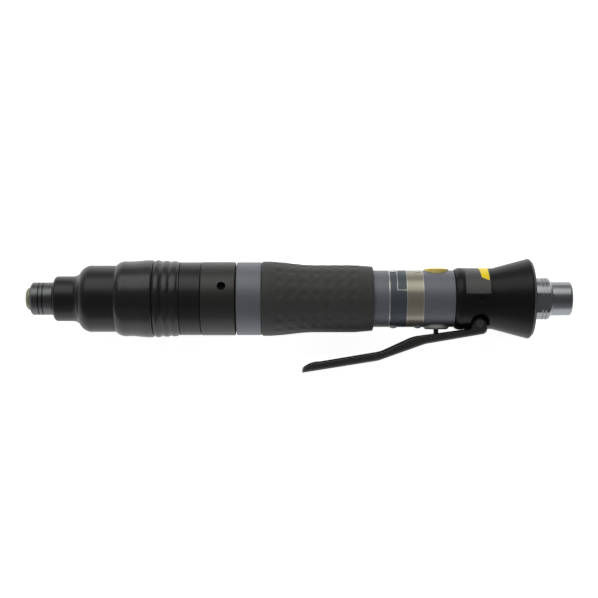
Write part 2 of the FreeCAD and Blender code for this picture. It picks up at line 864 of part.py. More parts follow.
def make_motor_cylinder():
    """Liner with an off-centre bore and its exhaust ports."""
    body = rod(cylinder_front, cylinder_rear, end_plate_radius)
    bore = rod(cylinder_front - 1, cylinder_rear + 1, cylinder_bore)
    bore.translate(Vector(0, rotor_offset, 0))
    middle = (cylinder_front + cylinder_rear) / 2
    body = body.cut(bore)
    for side in (-1, 1):
        for place in (-port_spacing / 2, port_spacing / 2):
            port = upright(0, end_plate_radius + 1, port_radius, middle + place)
            body = body.cut(about_axis(port, side * exhaust_angles[0]))
    return body


def make_front_end_plate():
    """Front end of the motor, with the pocket of the rotor's front bearing."""
    return turned((stack_front, rotor_front_outer), (stack_front, end_plate_radius),
                  (cylinder_front, end_plate_radius), (cylinder_front, rotor_front_radius + shaft_clearance),
                  (stack_front + rotor_front_width, rotor_front_radius + shaft_clearance),
                  (stack_front + rotor_front_width, rotor_front_outer))


def make_rear_end_plate():
    """Rear end of the motor, with a bearing pocket and the two inlet ports."""
    pocket = stack_rear - rotor_rear_width
    body = turned((cylinder_rear, rotor_rear_radius + shaft_clearance), (cylinder_rear, end_plate_radius),
                  (stack_rear, end_plate_radius), (stack_rear, rotor_rear_outer),
                  (pocket, rotor_rear_outer), (pocket, rotor_rear_radius + shaft_clearance))
    for side in (-1, 1):
        port = Part.makeCylinder(port_radius / 2, rear_plate_width + 2,
                                 Vector(cylinder_rear - 1, rotor_rear_outer + 1.0, 0), TOOL_AXIS)
        body = body.cut(about_axis(port, 180 + side * inlet_port_angle))
    return body


# Motor housing and what is on it

def make_motor_housing():
    """Grey housing: front band, core under the grip, valve body and tail, with its air ways."""
    c = band_chamfer
    thread = ring_spigot_radius + running_gap
    body = turned((motor_front, thread), (motor_front, front_band_radius - edge_chamfer),
                  (motor_front + edge_chamfer, front_band_radius),
                  (grip_front - c, front_band_radius), (grip_front, front_band_radius - c),
                  (grip_front, core_radius), (grip_rear, core_radius), (grip_rear, body_radius),
                  (motor_rear - edge_chamfer, body_radius),
                  (motor_rear, body_radius - edge_chamfer), (motor_rear, tail_radius),
                  (tail_rear, tail_radius), (tail_rear, inlet_spigot_radius),
                  (tail_rear - inlet_spigot_length - 0.5, inlet_spigot_radius),
                  (tail_rear - inlet_spigot_length - 0.5, inlet_passage_radius),
                  (cross_bore_x, inlet_passage_radius), (cross_bore_x, 0),
                  (stack_rear + air_chamber_length, 0),
                  (stack_rear + air_chamber_length, air_chamber_radius),
                  (stack_rear + rest_gap, air_chamber_radius), (stack_rear + rest_gap, stack_bore),
                  (spigot_rear + 0.02, stack_bore), (spigot_rear + 0.02, thread))
    lower = upright(-body_radius - 1, -valve_seat_top, bushing_body_radius)
    spot_face = upright(-body_radius - 1, -bushing_flange_seat,
                        bushing_flange_radius + plate_clearance)
    valve_room = upright(-valve_seat_top - 1, valve_ceiling, valve_bore_radius)
    link = upright(0, button_bore_floor + 1, valve_port_radius)
    upper = upright(button_bore_floor, body_radius + 1, button_radius)
    feed = Part.makeCylinder(feed_radius, cross_bore_x - stack_rear - 1,
                             Vector(stack_rear + 1, -feed_drop, 0), TOOL_AXIS)
    shapes = [lower, spot_face, valve_room, link, upper, feed]
    exhaust = Part.makeCylinder(exhaust_passage_radius, motor_rear - cylinder_front,
                                Vector((cylinder_front + cylinder_rear) / 2 - 6,
                                       exhaust_circle, 0), TOOL_AXIS)
    shapes += [about_axis(exhaust, side * a) for a in exhaust_angles for side in (-1, 1)]
    rivets = [rivet_shank(x, a, 0) for x, a in rivet_places()]
    return cut_all(body, *shapes, *rivets)


def make_grip():
    """Rubber sleeve, fuller at the front, with a long waist and a rounded rear end."""
    front = grip_front
    rear = grip_rear
    full = grip_front_radius
    waist = grip_waist_radius
    e = grip_edge_rounding
    return turned((front, core_radius), (front, full - e),
                  (front + arc_share * e, full - arc_share * e, front + e, full),
                  (front + grip_front_straight, full),
                  (front + (grip_front_straight + grip_swell) / 2, full - grip_swell_bow,
                   front + grip_swell, full - grip_swell_fall),
                  (front + (grip_swell + grip_waist_start) / 2, waist + grip_waist_bow,
                   front + grip_waist_start, waist),
                  (front + grip_waist_end, waist), (rear - e, grip_rear_radius + 0.05),
                  (rear - arc_share * e, grip_rear_radius - arc_share * e, rear,
                   grip_rear_radius - e), (rear, core_radius))


def rivet_places():
    """(x, degrees from Y towards Z) of the four plate rivets."""
    front = grip_rear + plate_start + rivet_inset
    rear = grip_rear + plate_start + plate_length - rivet_inset
    return [(x, 90 + side * rivet_half_angle) for x in (front, rear) for side in (-1, 1)]


def rivet_shank(x, degrees, shrink):
    """The shank of one rivet, from the plate's outside inwards."""
    shank = Part.makeCylinder(rivet_shank_radius - shrink, rivet_shank_length + plate_thickness,
                              Vector(x, body_radius - rivet_shank_length, 0), UP)
    return about_axis(shank, degrees)


def make_name_plate():
    """Thin bare plate bent round the side of the housing."""
    front = grip_rear + plate_start
    full = ring(front, front + plate_length, body_radius + plate_thickness, body_radius)
    reach = body_radius * 2
    wedge = [(0, 0), polar(reach, 90 - plate_half_angle), (reach, reach), (-reach, reach),
             polar(reach, 90 + plate_half_angle)]
    sector = full.common(prism(wedge, front, front + plate_length))
    spot_face = upright(-body_radius - 1, 0, bushing_flange_radius + plate_clearance)
    button_hole = upright(0, body_radius + 1, button_radius + plate_clearance)
    shanks = [rivet_shank(x, a, 0) for x, a in rivet_places()]
    return cut_all(sector, spot_face, button_hole, *shanks)


def make_plate_rivets():
    """Four domed rivets of the name plate."""
    crown = body_radius + plate_thickness
    rise = rivet_head_height
    dome_radius = (rivet_head_radius ** 2 + rise ** 2) / (2 * rise)
    rivets = []
    for x, degrees in rivet_places():
        cap = Part.makeSphere(dome_radius, Vector(x, crown + rise - dome_radius, 0))
        cap = cap.common(upright(crown, crown + rise + 1, rivet_head_radius + 1, x))
        rivets.append(about_axis(cap, degrees).fuse(rivet_shank(x, degrees, 0)))
    return Part.makeCompound(rivets)


# Throttle valve and reversing button

def make_throttle_bushing():
    """Steel guide of the throttle pin, screwed into the cross bore from below."""
    chamfer = bushing_chamfer
    flange = Part.makeCylinder(bushing_flange_radius,
                               bushing_flange_bottom - bushing_flange_seat - chamfer,
                               Vector(cross_bore_x, -bushing_flange_bottom + chamfer, 0), UP)
    bevel = Part.makeCone(bushing_flange_radius - chamfer, bushing_flange_radius, chamfer,
                          Vector(cross_bore_x, -bushing_flange_bottom, 0), UP)
    body = upright(-bushing_flange_seat, -bushing_body_end, bushing_body_radius)
    guide = upright(-bushing_flange_bottom - 1, 0, pin_radius + running_gap)
    return flange.fuse(bevel).fuse(body).cut(guide)


def make_valve_seat():
    """Brass seat of the throttle valve."""
    body = upright(-valve_seat_bottom, -valve_seat_top, bushing_body_radius)
    bore = upright(-valve_seat_bottom - 1, 0, valve_port_radius)
    cone = Part.makeCone(valve_port_radius, valve_port_radius + valve_cone, valve_cone,
                         Vector(cross_bore_x, -valve_seat_top - valve_cone, 0), UP)
    return cut_all(body, bore, cone)


def lever_inner_line(x):
    """Height of the lever's inner face at x, between its second bend and the pivot."""
    start_x = pivot_x - lever_second_bend_reach
    slope = lever_rear_slope()
    return -lever_second_bend_drop + slope * (x - start_x) + lever_sheet * math.hypot(1, slope)


def lever_rear_x():
    return pivot_x + ear_radius


def lever_rear_slope():
    return (lever_second_bend_drop - lever_rear_drop) / (lever_second_bend_reach + ear_radius)


def make_throttle_pin():
    """Pin that the lever pushes, with the valve head at its inner end."""
    slope = lever_rear_slope()
    centre = lever_inner_line(cross_bore_x) + (pin_radius + pin_end_gap) * math.hypot(1, slope)
    stem = upright(centre, -valve_seat_top, pin_radius)
    end = Part.makeSphere(pin_radius, Vector(cross_bore_x, centre, 0))
    small = valve_port_radius - running_gap
    base = -valve_seat_top - valve_cone + valve_lift
    cone = Part.makeCone(small, small + valve_cone, valve_cone, Vector(cross_bore_x, base, 0), UP)
    head = upright(base + valve_cone, -valve_head_top, small + valve_cone)
    return stem.fuse(end).fuse(cone).fuse(head)


def make_throttle_spring():
    start = Vector(cross_bore_x, -valve_head_top + rest_gap, 0)
    return coil_along(UP, start, valve_ceiling + valve_head_top - 2 * rest_gap,
                      throttle_spring_radius + 0.6, throttle_wire, throttle_spring_turns)


def make_reverse_button():
    """Brass thumb button with a domed top and a groove for its seal."""
    radius = button_radius - running_gap
    rise = button_top - button_edge
    dome_radius = (radius ** 2 + rise ** 2) / (2 * rise)
    body = upright(button_bottom, button_top, radius)
    dome = Part.makeSphere(dome_radius, Vector(cross_bore_x, button_top - dome_radius, 0))
    groove = upright(button_groove_bottom, button_groove_bottom + button_groove_width, radius + 1)
    groove = groove.cut(upright(button_groove_bottom - 1, button_top,
                                radius - button_groove_depth))
    return body.common(dome).cut(groove)


def make_button_o_ring():
    section = (button_groove_depth - running_gap) / 2
    height = button_groove_bottom + button_groove_width / 2
    return Part.makeTorus(button_radius - running_gap - section, section,
                          Vector(cross_bore_x, height, 0), UP)


def make_reverse_spring():
    start = Vector(cross_bore_x, button_bore_floor + rest_gap, 0)
    return coil_along(UP, start, button_bottom - button_bore_floor - 2 * rest_gap,
                      reverse_spring_radius, throttle_wire, reverse_spring_turns)


# Rear housing, inlet and silencer

def bell_inner_radius(x):
    slope = (bell_rim_radius - rear_body_radius) / (bell_length - bell_rim_place)
    return rear_body_radius - bell_wall + slope * (x - bell_start)


def make_rear_housing():
    """Black rear shell: smooth collar, open exhaust bell and the two pockets of the lever ears."""
    bulge_x = rear_front + rear_bulge_place
    rim_x = bell_rear - bell_rim_place
    floor_x = tail_rear - rest_gap
    bore = tail_radius + tail_gap
    body = turned((rear_front, bore), (rear_front, rear_front_radius - 0.2),
                  (rear_front + 0.9, rear_front_radius + 0.32, bulge_x, rear_bulge_radius),
                  (bulge_x + 3.2, rear_body_radius + 0.02), (bell_start - 1.2, rear_body_radius),
                  (bell_start - 0.4, rear_body_radius + 0.03,
                   bell_start + 0.4, rear_body_radius + 0.12),
                  (rim_x - 0.4, bell_rim_radius - 0.1), (rim_x + 0.3, bell_rim_radius - 0.02,
                                                         rim_x + 0.9, bell_rim_radius - 0.35),
                  (bell_rear, bell_rim_radius - 1.6), (bell_rear, bell_inner_radius(bell_rear)),
                  (floor_x, bell_inner_radius(floor_x)), (floor_x, bore))
    cuts = []
    for side in (-1, 1):
        inner = lever_width / 2 - lever_sheet - running_gap
        outer = rear_bulge_radius + 2
        low, high = (inner, outer) if side > 0 else (-outer, -inner)
        arch = across(low, high, pocket_radius, pivot_x, -pivot_drop)
        below = block((pivot_x - pocket_radius, -pivot_drop - pocket_reach, low),
                      (pivot_x + pocket_radius, -pivot_drop, high))
        cuts += [arch, below]
    cuts.append(across(-lever_width, lever_width, pivot_screw_radius, pivot_x, -pivot_drop))
    passage = Part.makeCylinder(exhaust_passage_radius, floor_x - rear_front + 2,
                                Vector(rear_front - 1, exhaust_circle, 0), TOOL_AXIS)
    cuts += [about_axis(passage, side * a) for a in exhaust_angles for side in (-1, 1)]
    screw_x = rear_front + set_screw_place
    cuts.append(across(-rear_bulge_radius - 1, rear_bulge_radius + 1, set_screw_radius,
                       screw_x, 0))
    return cut_all(body, *cuts)


def make_set_screws():
    """Two headless screws that hold the rear housing on the tail."""
    x = rear_front + set_screw_place
    outer = rear_body_radius - set_screw_sink
    inner = tail_radius + tail_gap
    screw = across(inner, outer, set_screw_radius, x, 0)
    radius = set_screw_hex / math.sqrt(3)
    corners = [Vector(x + polar(radius, 60 * i)[0], polar(radius, 60 * i)[1], outer - 1.5)
               for i in range(6)]
    recess = Part.Face(Part.makePolygon(corners + corners[:1])).extrude(SIDE * 3)
    screw = screw.cut(recess)
    return Part.makeCompound([screw, about_axis(screw, 180)])


def make_silencer():
    """Porous ring at the bottom of the exhaust bell."""
    front = tail_rear
    rear = front + silencer_length
    inner = collar_radius + 0.1
    return turned((front, inner), (front, bell_inner_radius(front) - 0.1),
                  (rear, bell_inner_radius(rear) - 0.1), (rear, inner))


def make_inlet_bushing():
    """Air inlet in one piece: screwed spigot, collar with spanner flats, and nipple."""
    front = tail_rear
    chamfer = collar_chamfer
    rounding = nipple_rounding
    step = inlet_face - inlet_thread_length
    seat = step - inlet_relief_width
    body = turned((front - inlet_spigot_length, inlet_bore_radius),
                  (front - inlet_spigot_length, inlet_spigot_radius),
                  (front, inlet_spigot_radius), (front, collar_radius),
                  (collar_rear - chamfer, collar_radius),
                  (collar_rear - 0.2, nipple_radius + 0.3), (collar_rear, nipple_radius),
                  (inlet_face - rounding, nipple_radius),
                  (inlet_face - arc_share * rounding, nipple_radius - arc_share * rounding,
                   inlet_face, nipple_radius - rounding),
                  (inlet_face, inlet_thread_radius), (step, inlet_thread_radius),
                  (step, inlet_relief_radius), (seat, inlet_relief_radius),
                  (seat, screen_radius + running_gap),
                  (seat - screen_thickness, screen_radius + running_gap),
                  (seat - screen_thickness, inlet_bore_radius))
    for place in collar_grooves:
        start = collar_rear - chamfer - place
        body = body.cut(ring(start, start + collar_groove_width, collar_radius + 1,
                             collar_radius - collar_groove_depth))
    flat = block((collar_rear - collar_flat_length, -collar_radius - 1, collar_flat),
                 (collar_rear + 0.5, collar_radius + 1, collar_radius + 1))
    for turn in (collar_flat_turn, collar_flat_turn + 180):
        body = body.cut(about_axis(flat, turn))
    return body


def make_inlet_screen():
    """Perforated brass disc in its seat below the inlet thread."""
    front = inlet_face - inlet_thread_length - inlet_relief_width - screen_thickness
    disc = rod(front, front + screen_thickness, screen_radius)
    hole = Part.makeCylinder(screen_hole_radius, screen_thickness + 2,
                             Vector(front - 1, inlet_bore_radius * 0.6, 0), TOOL_AXIS)
    return cut_all(disc, *[about_axis(hole, 360 / screen_holes * i) for i in range(screen_holes)])


# Lever and its screw

def lever_wall_outline():
    """Side outline of the lever from its tip round to the pivot ear."""
    tip = (pivot_x - lever_tip_reach, -lever_tip_drop)
    first = (pivot_x - lever_first_bend_reach, -lever_first_bend_drop)
    second = (pivot_x - lever_second_bend_reach, -lever_second_bend_drop)
    rear = (lever_rear_x(), -lever_rear_drop)
    ear_right = (lever_rear_x(), -pivot_drop)
    ear_top = (pivot_x, -pivot_drop + ear_radius)
    ear_left = (pivot_x - ear_radius, -pivot_drop)
    back = (pivot_x - ear_radius, -wall_rear_drop + 0.9)
    wall_rear = (pivot_x - wall_rear_reach, -wall_rear_drop)
    wall_second = (pivot_x - wall_second_bend_reach, -wall_second_bend_drop)
    wall_first = (pivot_x - wall_first_bend_reach, -wall_first_bend_drop)
    wall_tip = (pivot_x - wall_tip_reach, -wall_tip_drop)
    lip = (tip[0], tip[1] + lever_sheet * math.sqrt(1 + lever_front_slope ** 2))
    bulge = ((wall_tip[0] + lip[0]) / 2 - 0.5, (wall_tip[1] + lip[1]) / 2 + 0.75)
    return [tip, first, second, *eased(second, rear, ear_right, ear_corner), ear_right,
            ear_top + ear_left, back, wall_rear,
            *eased(wall_rear, wall_second, wall_first, wall_bend),
            *eased(wall_second, wall_first, wall_tip, wall_bend), wall_tip, bulge + lip]


def eased(before, corner, after, radius):
    """The two outline corners of an arc that rounds a corner between its neighbours."""
    here = Vector(*corner, 0)
    ways = [(Vector(*point, 0) - here).normalize() for point in (before, after)]
    half = ways[0].getAngle(ways[1]) / 2
    run = radius / math.tan(half)
    middle = here + (ways[0] + ways[1]).normalize() * (radius / math.sin(half) - radius)
    start, end = [here + way * run for way in ways]
    return [(start.x, start.y), (middle.x, middle.y, end.x, end.y)]


def make_lever():
    """Pressed steel lever: a channel open towards the tool, with two ears on the cross screw."""
    half = lever_width / 2
    corners = lever_wall_outline()
    edges = outline_edges(corners, lambda x, y: Vector(x, y, -half))
    solid = Part.Face(Part.Wire(edges)).extrude(SIDE * lever_width)
    solid = solid.makeFillet(lever_bend, bend_edges(solid, corners[1:3]))
    solid = solid.makeFillet(lever_bend_radius, long_edges(solid))
    inner_half = half - lever_sheet
    channel = Part.Face(Part.Wire(outline_edges(channel_outline(), lambda x, y:
                                                Vector(x, y, -inner_half))))
    solid = solid.cut(channel.extrude(SIDE * inner_half * 2))
    solid = solid.cut(tip_trim())
    hole = across(-lever_width, lever_width, pivot_screw_radius + running_gap, pivot_x,
                  -pivot_drop)
    seat = across(half - pivot_head_depth, half + 1, pivot_head_radius + running_gap, pivot_x,
                  -pivot_drop)
    return cut_all(solid, hole, seat, about_side(seat))


def about_side(shape):
    """The mirror image on the tool's other side."""
    return shape.mirror(Vector(0, 0, 0), SIDE)


def bend_edges(solid, corners):
    """The cross edges of the lever's outer face at its two bends."""
    found = []
    for edge in solid.Edges:
        points = [v.Point for v in edge.Vertexes]
        for x, y in corners:
            if len(points) == 2 and all(abs(p.x - x) + abs(p.y - y) < 0.001 for p in points):
                found.append(edge)
    return found


def long_edges(solid):
    """The two long lower edges of the lever, which its sheet is bent round."""
    half = lever_width / 2
    found = []
    for edge in solid.Edges:
        points = [v.Point for v in edge.Vertexes]
        flat_side = all(abs(abs(p.z) - half) < 0.001 for p in points)
        same_side = len({p.z > 0 for p in points}) == 1
        if flat_side and same_side and len(points) == 2 and on_outer_face(edge):
            found.append(edge)
    return found


def outer_line(x):
    """Height of the lever's outer face at x, as if its bends were sharp."""
    stations = [(lever_tip_reach, lever_tip_drop), (lever_first_bend_reach, lever_first_bend_drop),
                (lever_second_bend_reach, lever_second_bend_drop),
                (pivot_x - lever_rear_x(), lever_rear_drop)]
    reach = pivot_x - x
    for (far, low), (near, high) in zip(stations, stations[1:]):
        if reach >= near - 0.001:
            return -(high + (low - high) * (reach - near) / (far - near))
    return -lever_rear_drop


def on_outer_face(edge):
    middle = edge.valueAt((edge.FirstParameter + edge.LastParameter) / 2)
    ends = [v.Point for v in edge.Vertexes]
    long_enough = abs(ends[0].x - ends[1].x) > 0.5
    return long_enough and abs(middle.y - outer_line(middle.x)) < 0.3


def channel_outline():
    """Space inside the channel: the outer face moved in by the sheet, open above."""
    start = pivot_x - lever_tip_reach - 2
    stations = [start, pivot_x - lever_first_bend_reach, pivot_x - lever_second_bend_reach,
                lever_rear_x() + 2]
    points = []
    for x in stations:
        slope = (outer_line(x + 0.01) - outer_line(x - 0.01)) / 0.02
        points.append((x, outer_line(x) + lever_sheet * math.sqrt(1 + slope ** 2)))
    points[-1] = (stations[3], lever_inner_line(stations[3]))
    points[0] = (start, -lever_tip_drop - lever_front_slope * 2
                 + lever_sheet * math.sqrt(1 + lever_front_slope ** 2))
    top = -pivot_drop + ear_radius + 1
    return points + [(points[-1][0], top), (points[0][0], top)]


def tip_trim():
    """What the two rounded corners of the lever's tip leave away."""
    corner = lever_tip_corner
    tip_x = pivot_x - lever_tip_reach
    half = lever_width / 2
    low = -lever_tip_drop - 2 * lever_sheet
    high = -wall_tip_drop + 2 * lever_sheet
    square = block((tip_x - 1, low, half - corner), (tip_x + corner, high, half + 1))
    keep = Part.makeCylinder(corner, high - low, Vector(tip_x + corner, low, half - corner), UP)
    trim = square.cut(keep)
    return trim.fuse(about_side(trim))


def make_lever_pivot_screw():
    """Cross screw that the lever turns on, with a flush head in each ear."""
    half = lever_width / 2
    shank = across(-half, half, pivot_screw_radius, pivot_x, -pivot_drop)
    head = across(half - pivot_head_depth + rest_gap, half, pivot_head_radius, pivot_x,
                  -pivot_drop)
    radius = pivot_hex / math.sqrt(3)
    corners = [Vector(pivot_x + polar(radius, 60 * i)[0], -pivot_drop + polar(radius, 60 * i)[1],
                      half - 1.2) for i in range(6)]
    recess = Part.Face(Part.makePolygon(corners + corners[:1])).extrude(SIDE * 3)
    screw = shank.fuse(head).fuse(about_side(head))
    return cut_all(screw, recess, about_side(recess))


# Every piece by its node name

pieces = {
    "spindle": make_spindle(),
    "bit_ball": make_bit_ball(),
    "chuck_sleeve": make_chuck_sleeve(),
    "chuck_spring": make_chuck_spring(),
    "chuck_snap_ring": make_chuck_snap_ring(),
    "clutch_housing": make_clutch_housing(),
    "front_bearing_outer": bearing_outer(bearing_front, front_bearing_width,
                                         spindle_shaft_radius, front_bearing_outer_radius),
    "front_bearing_inner": bearing_inner(bearing_front, front_bearing_width,
                                         spindle_shaft_radius),
    "bearing_retainer": make_bearing_retainer(),
    "thrust_washer": make_thrust_washer(),
    "cover_o_ring": make_cover_o_ring(),
    "clutch_cover": make_clutch_cover(),
    "lock_ring": make_lock_ring(),
    "clutch_plate": make_clutch_plate(),
    "clutch_balls": make_clutch_balls(),
    "clutch_spring": make_clutch_spring(),
    "drive_keys": make_drive_keys(),
    "adjusting_nut": make_adjusting_nut(),
    "carrier_bearing_outer": bearing_outer(carrier_bearing_front, carrier_bearing_width,
                                           carrier_shaft_radius, carrier_bearing_outer_radius),
    "carrier_bearing_inner": bearing_inner(carrier_bearing_front, carrier_bearing_width,
                                           carrier_shaft_radius),
    "gear_ring": make_gear_ring(),
    "output_carrier": make_output_carrier(),
    "output_planet_pins": make_planet_pins(carrier_front, output_rear + pin_stick_out),
    "input_carrier": make_input_carrier(),
    "input_planet_pins": make_planet_pins(input_plate_front, input_rear + pin_stick_out),
    "rotor": make_rotor(),
    "rotor_vanes": make_rotor_vanes(),
    "motor_cylinder": make_motor_cylinder(),
    "front_end_plate": make_front_end_plate(),
    "rear_end_plate": make_rear_end_plate(),
    "rotor_front_bearing_outer": bearing_outer(stack_front, rotor_front_width,
                                               rotor_front_radius, rotor_front_outer),
    "rotor_front_bearing_inner": bearing_inner(stack_front, rotor_front_width,
                                               rotor_front_radius),
    "rotor_rear_bearing_outer": bearing_outer(stack_rear - rotor_rear_width, rotor_rear_width,
                                              rotor_rear_radius, rotor_rear_outer),
    "rotor_rear_bearing_inner": bearing_inner(stack_rear - rotor_rear_width, rotor_rear_width,
                                              rotor_rear_radius),
    "motor_housing": make_motor_housing(),
    "grip": make_grip(),
    "name_plate": make_name_plate(),
    "plate_rivets": make_plate_rivets(),
    "throttle_bushing": make_throttle_bushing(),
    "valve_seat": make_valve_seat(),
    "throttle_pin": make_throttle_pin(),
    "throttle_spring": make_throttle_spring(),
    "reverse_button": make_reverse_button(),
    "button_o_ring": make_button_o_ring(),
    "reverse_spring": make_reverse_spring(),
    "rear_housing": make_rear_housing(),
    "set_screws": make_set_screws(),
    "silencer": make_silencer(),
    "inlet_bushing": make_inlet_bushing(),
    "inlet_screen": make_inlet_screen(),
    "lever": make_lever(),
    "lever_pivot_screw": make_lever_pivot_screw(),
}
for number in range(planets):
    pieces["output_planet_%d" % (number + 1)] = make_planet(output_front, number)
    pieces["input_planet_%d" % (number + 1)] = make_planet(input_front, number)

os.makedirs("parts", exist_ok=True)
for node, piece in pieces.items():
    piece = piece.copy()
    piece.rotate(Vector(0, 0, 0), TOOL_AXIS, roll_angle)
    piece.exportStep("parts/%s.step" % node)
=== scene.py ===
"""Looks of a pneumatic inline screwdriver: finishes, rubber grip, label, inlet thread, stage."""

import json
import math

import bpy
import numpy as np
from mathutils import Matrix, Vector


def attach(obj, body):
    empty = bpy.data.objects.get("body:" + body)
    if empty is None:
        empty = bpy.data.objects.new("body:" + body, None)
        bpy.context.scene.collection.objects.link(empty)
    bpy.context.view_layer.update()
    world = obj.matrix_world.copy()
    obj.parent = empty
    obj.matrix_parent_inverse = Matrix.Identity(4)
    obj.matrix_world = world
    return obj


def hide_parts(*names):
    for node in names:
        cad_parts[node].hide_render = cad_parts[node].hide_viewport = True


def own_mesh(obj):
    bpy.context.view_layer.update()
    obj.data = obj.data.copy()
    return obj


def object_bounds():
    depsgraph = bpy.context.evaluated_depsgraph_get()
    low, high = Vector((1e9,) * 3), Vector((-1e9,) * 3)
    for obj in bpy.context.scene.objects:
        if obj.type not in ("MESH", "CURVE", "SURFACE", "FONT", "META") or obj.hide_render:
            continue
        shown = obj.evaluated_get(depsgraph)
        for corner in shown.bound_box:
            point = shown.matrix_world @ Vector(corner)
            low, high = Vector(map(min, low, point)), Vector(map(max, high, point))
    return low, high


bl_info = {
    "name": "Pneumatic Screwdriver Looks",
    "version": (1, 0, 0),
    "blender": (4, 5, 0),
    "location": "View3D > Sidebar > Screwdriver",
    "description": "Finishes a packed pneumatic screwdriver and sets it on a plain studio stage",
    "category": "Object",
}

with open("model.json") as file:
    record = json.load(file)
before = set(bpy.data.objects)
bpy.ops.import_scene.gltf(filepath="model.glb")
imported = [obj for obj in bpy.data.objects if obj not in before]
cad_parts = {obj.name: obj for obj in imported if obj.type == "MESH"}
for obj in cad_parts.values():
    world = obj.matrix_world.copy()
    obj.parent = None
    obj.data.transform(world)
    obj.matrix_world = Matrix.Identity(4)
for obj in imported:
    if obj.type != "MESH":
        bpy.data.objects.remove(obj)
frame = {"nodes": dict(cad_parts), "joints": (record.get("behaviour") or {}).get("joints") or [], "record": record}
CAD_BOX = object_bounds()

MM = 0.001
JOINTS = {joint["name"]: joint for joint in frame["joints"]}

# The tool's own directions: x along it, y away from the lever and z out of the plate side
AWAY_FROM_LEVER = JOINTS["throttle_pin_slide"]["axis"]
ROLL = math.atan2(AWAY_FROM_LEVER[2], AWAY_FROM_LEVER[1])
TOOL = Matrix.Rotation(ROLL, 4, "X") @ Matrix.Scale(MM, 4)


# Frame helpers

def tool_points(node):
    """A CAD node's vertices as (x, y, z) rows in millimetres, in the tool's own directions."""
    mesh = frame["nodes"][node].data
    flat = np.empty(len(mesh.vertices) * 3, np.float32)
    mesh.vertices.foreach_get("co", flat)
    world = flat.reshape(-1, 3).astype(float)
    turn = np.array(TOOL.inverted().to_3x3())
    return world @ turn.T


def span(node):
    """First and last x of a CAD node, in millimetres."""
    x = tool_points(node)[:, 0]
    return float(x.min()), float(x.max())


def outline(node, floor=0.0, window=(-180, 180)):
    """x and outer radius along a turned CAD node, in millimetres, for np.interp.

    The window is the range of degrees, from the plate side to the top, that is looked at.
    """
    points = tool_points(node)
    radius = np.hypot(points[:, 1], points[:, 2])
    degrees = np.degrees(np.arctan2(points[:, 1], points[:, 2]))
    keep = (radius > floor) & (degrees > window[0]) & (degrees < window[1])
    points, radius = points[keep], radius[keep]
    stations = np.round(points[:, 0], 2)
    places = np.unique(stations)
    outer = np.array([radius[stations == place].max() for place in places])
    return places, outer


def round_about(x, radius, degrees):
    """Tool points on a circle about the axis; degrees run from the plate side to the top."""
    angle = np.radians(degrees)
    return np.stack([x + 0 * angle, radius * np.sin(angle), radius * np.cos(angle)], -1)


# Mesh helpers

def add_piece(name, points, faces, body, corner_angle):
    """A smooth mesh piece from tool points in millimetres, riding on a body."""
    mesh = bpy.data.meshes.new(name)
    world = [TOOL @ Vector(p) for p in points]
    mesh.from_pydata(world, [], faces)
    mesh.validate()
    mesh.polygons.foreach_set("use_smooth", [True] * len(mesh.polygons))
    mesh.set_sharp_from_angle(angle=math.radians(corner_angle))
    piece = bpy.data.objects.new(name, mesh)
    bpy.context.scene.collection.objects.link(piece)
    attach(piece, body)
    return piece


def grid_faces(rows, columns, closed):
    """Quads of a grid of rows by columns points; closed joins the last column to the first."""
    faces = []
    last = columns if closed else columns - 1
    for i in range(rows - 1):
        for j in range(last):
            k = (j + 1) % columns
            faces.append((i * columns + j, i * columns + k,
                          (i + 1) * columns + k, (i + 1) * columns + j))
    return faces


def closed_sheet(top, bottom, columns):
    """Points and faces of a thin sheet between two grids with the same number of points."""
    rows = len(top) // columns
    shift = len(top)
    faces = grid_faces(rows, columns, False)
    faces += [tuple(shift + i for i in reversed(face)) for face in faces]
    edge = list(range(columns))
    edge += [i * columns + columns - 1 for i in range(1, rows)]
    edge += [(rows - 1) * columns + j for j in range(columns - 2, -1, -1)]
    edge += [i * columns for i in range(rows - 2, 0, -1)]
    for a, b in zip(edge, edge[1:] + edge[:1]):
        faces.append((b, a, shift + a, shift + b))
    return list(top) + list(bottom), faces


# Finishes

class Maths:
    """A shader socket that Python operators work on, each adding one Math node."""

    def __init__(self, finish, socket):
        self.finish = finish
        self.socket = socket

    def combine(self, operation, *values):
        node = self.finish.add("ShaderNodeMath", {"operation": operation},
                               dict(enumerate(values)))
        return Maths(self.finish, node.outputs[0])

    def __add__(self, other):
        return self.combine("ADD", self, other)

    def __sub__(self, other):
        return self.combine("SUBTRACT", self, other)

    def __mul__(self, other):
        return self.combine("MULTIPLY", self, other)

    def __truediv__(self, other):
        return self.combine("DIVIDE", self, other)

    def __rsub__(self, other):
        return self.combine("SUBTRACT", other, self)

    def above(self, level):
        return self.combine("GREATER_THAN", self, level)

    def below(self, level):
        return self.combine("LESS_THAN", self, level)

    def size(self):
        return self.combine("ABSOLUTE", self)

    def between(self, low, high):
        return self.above(low) * self.below(high)

    def near(self, level, reach):
        return (self - level).size().below(reach)


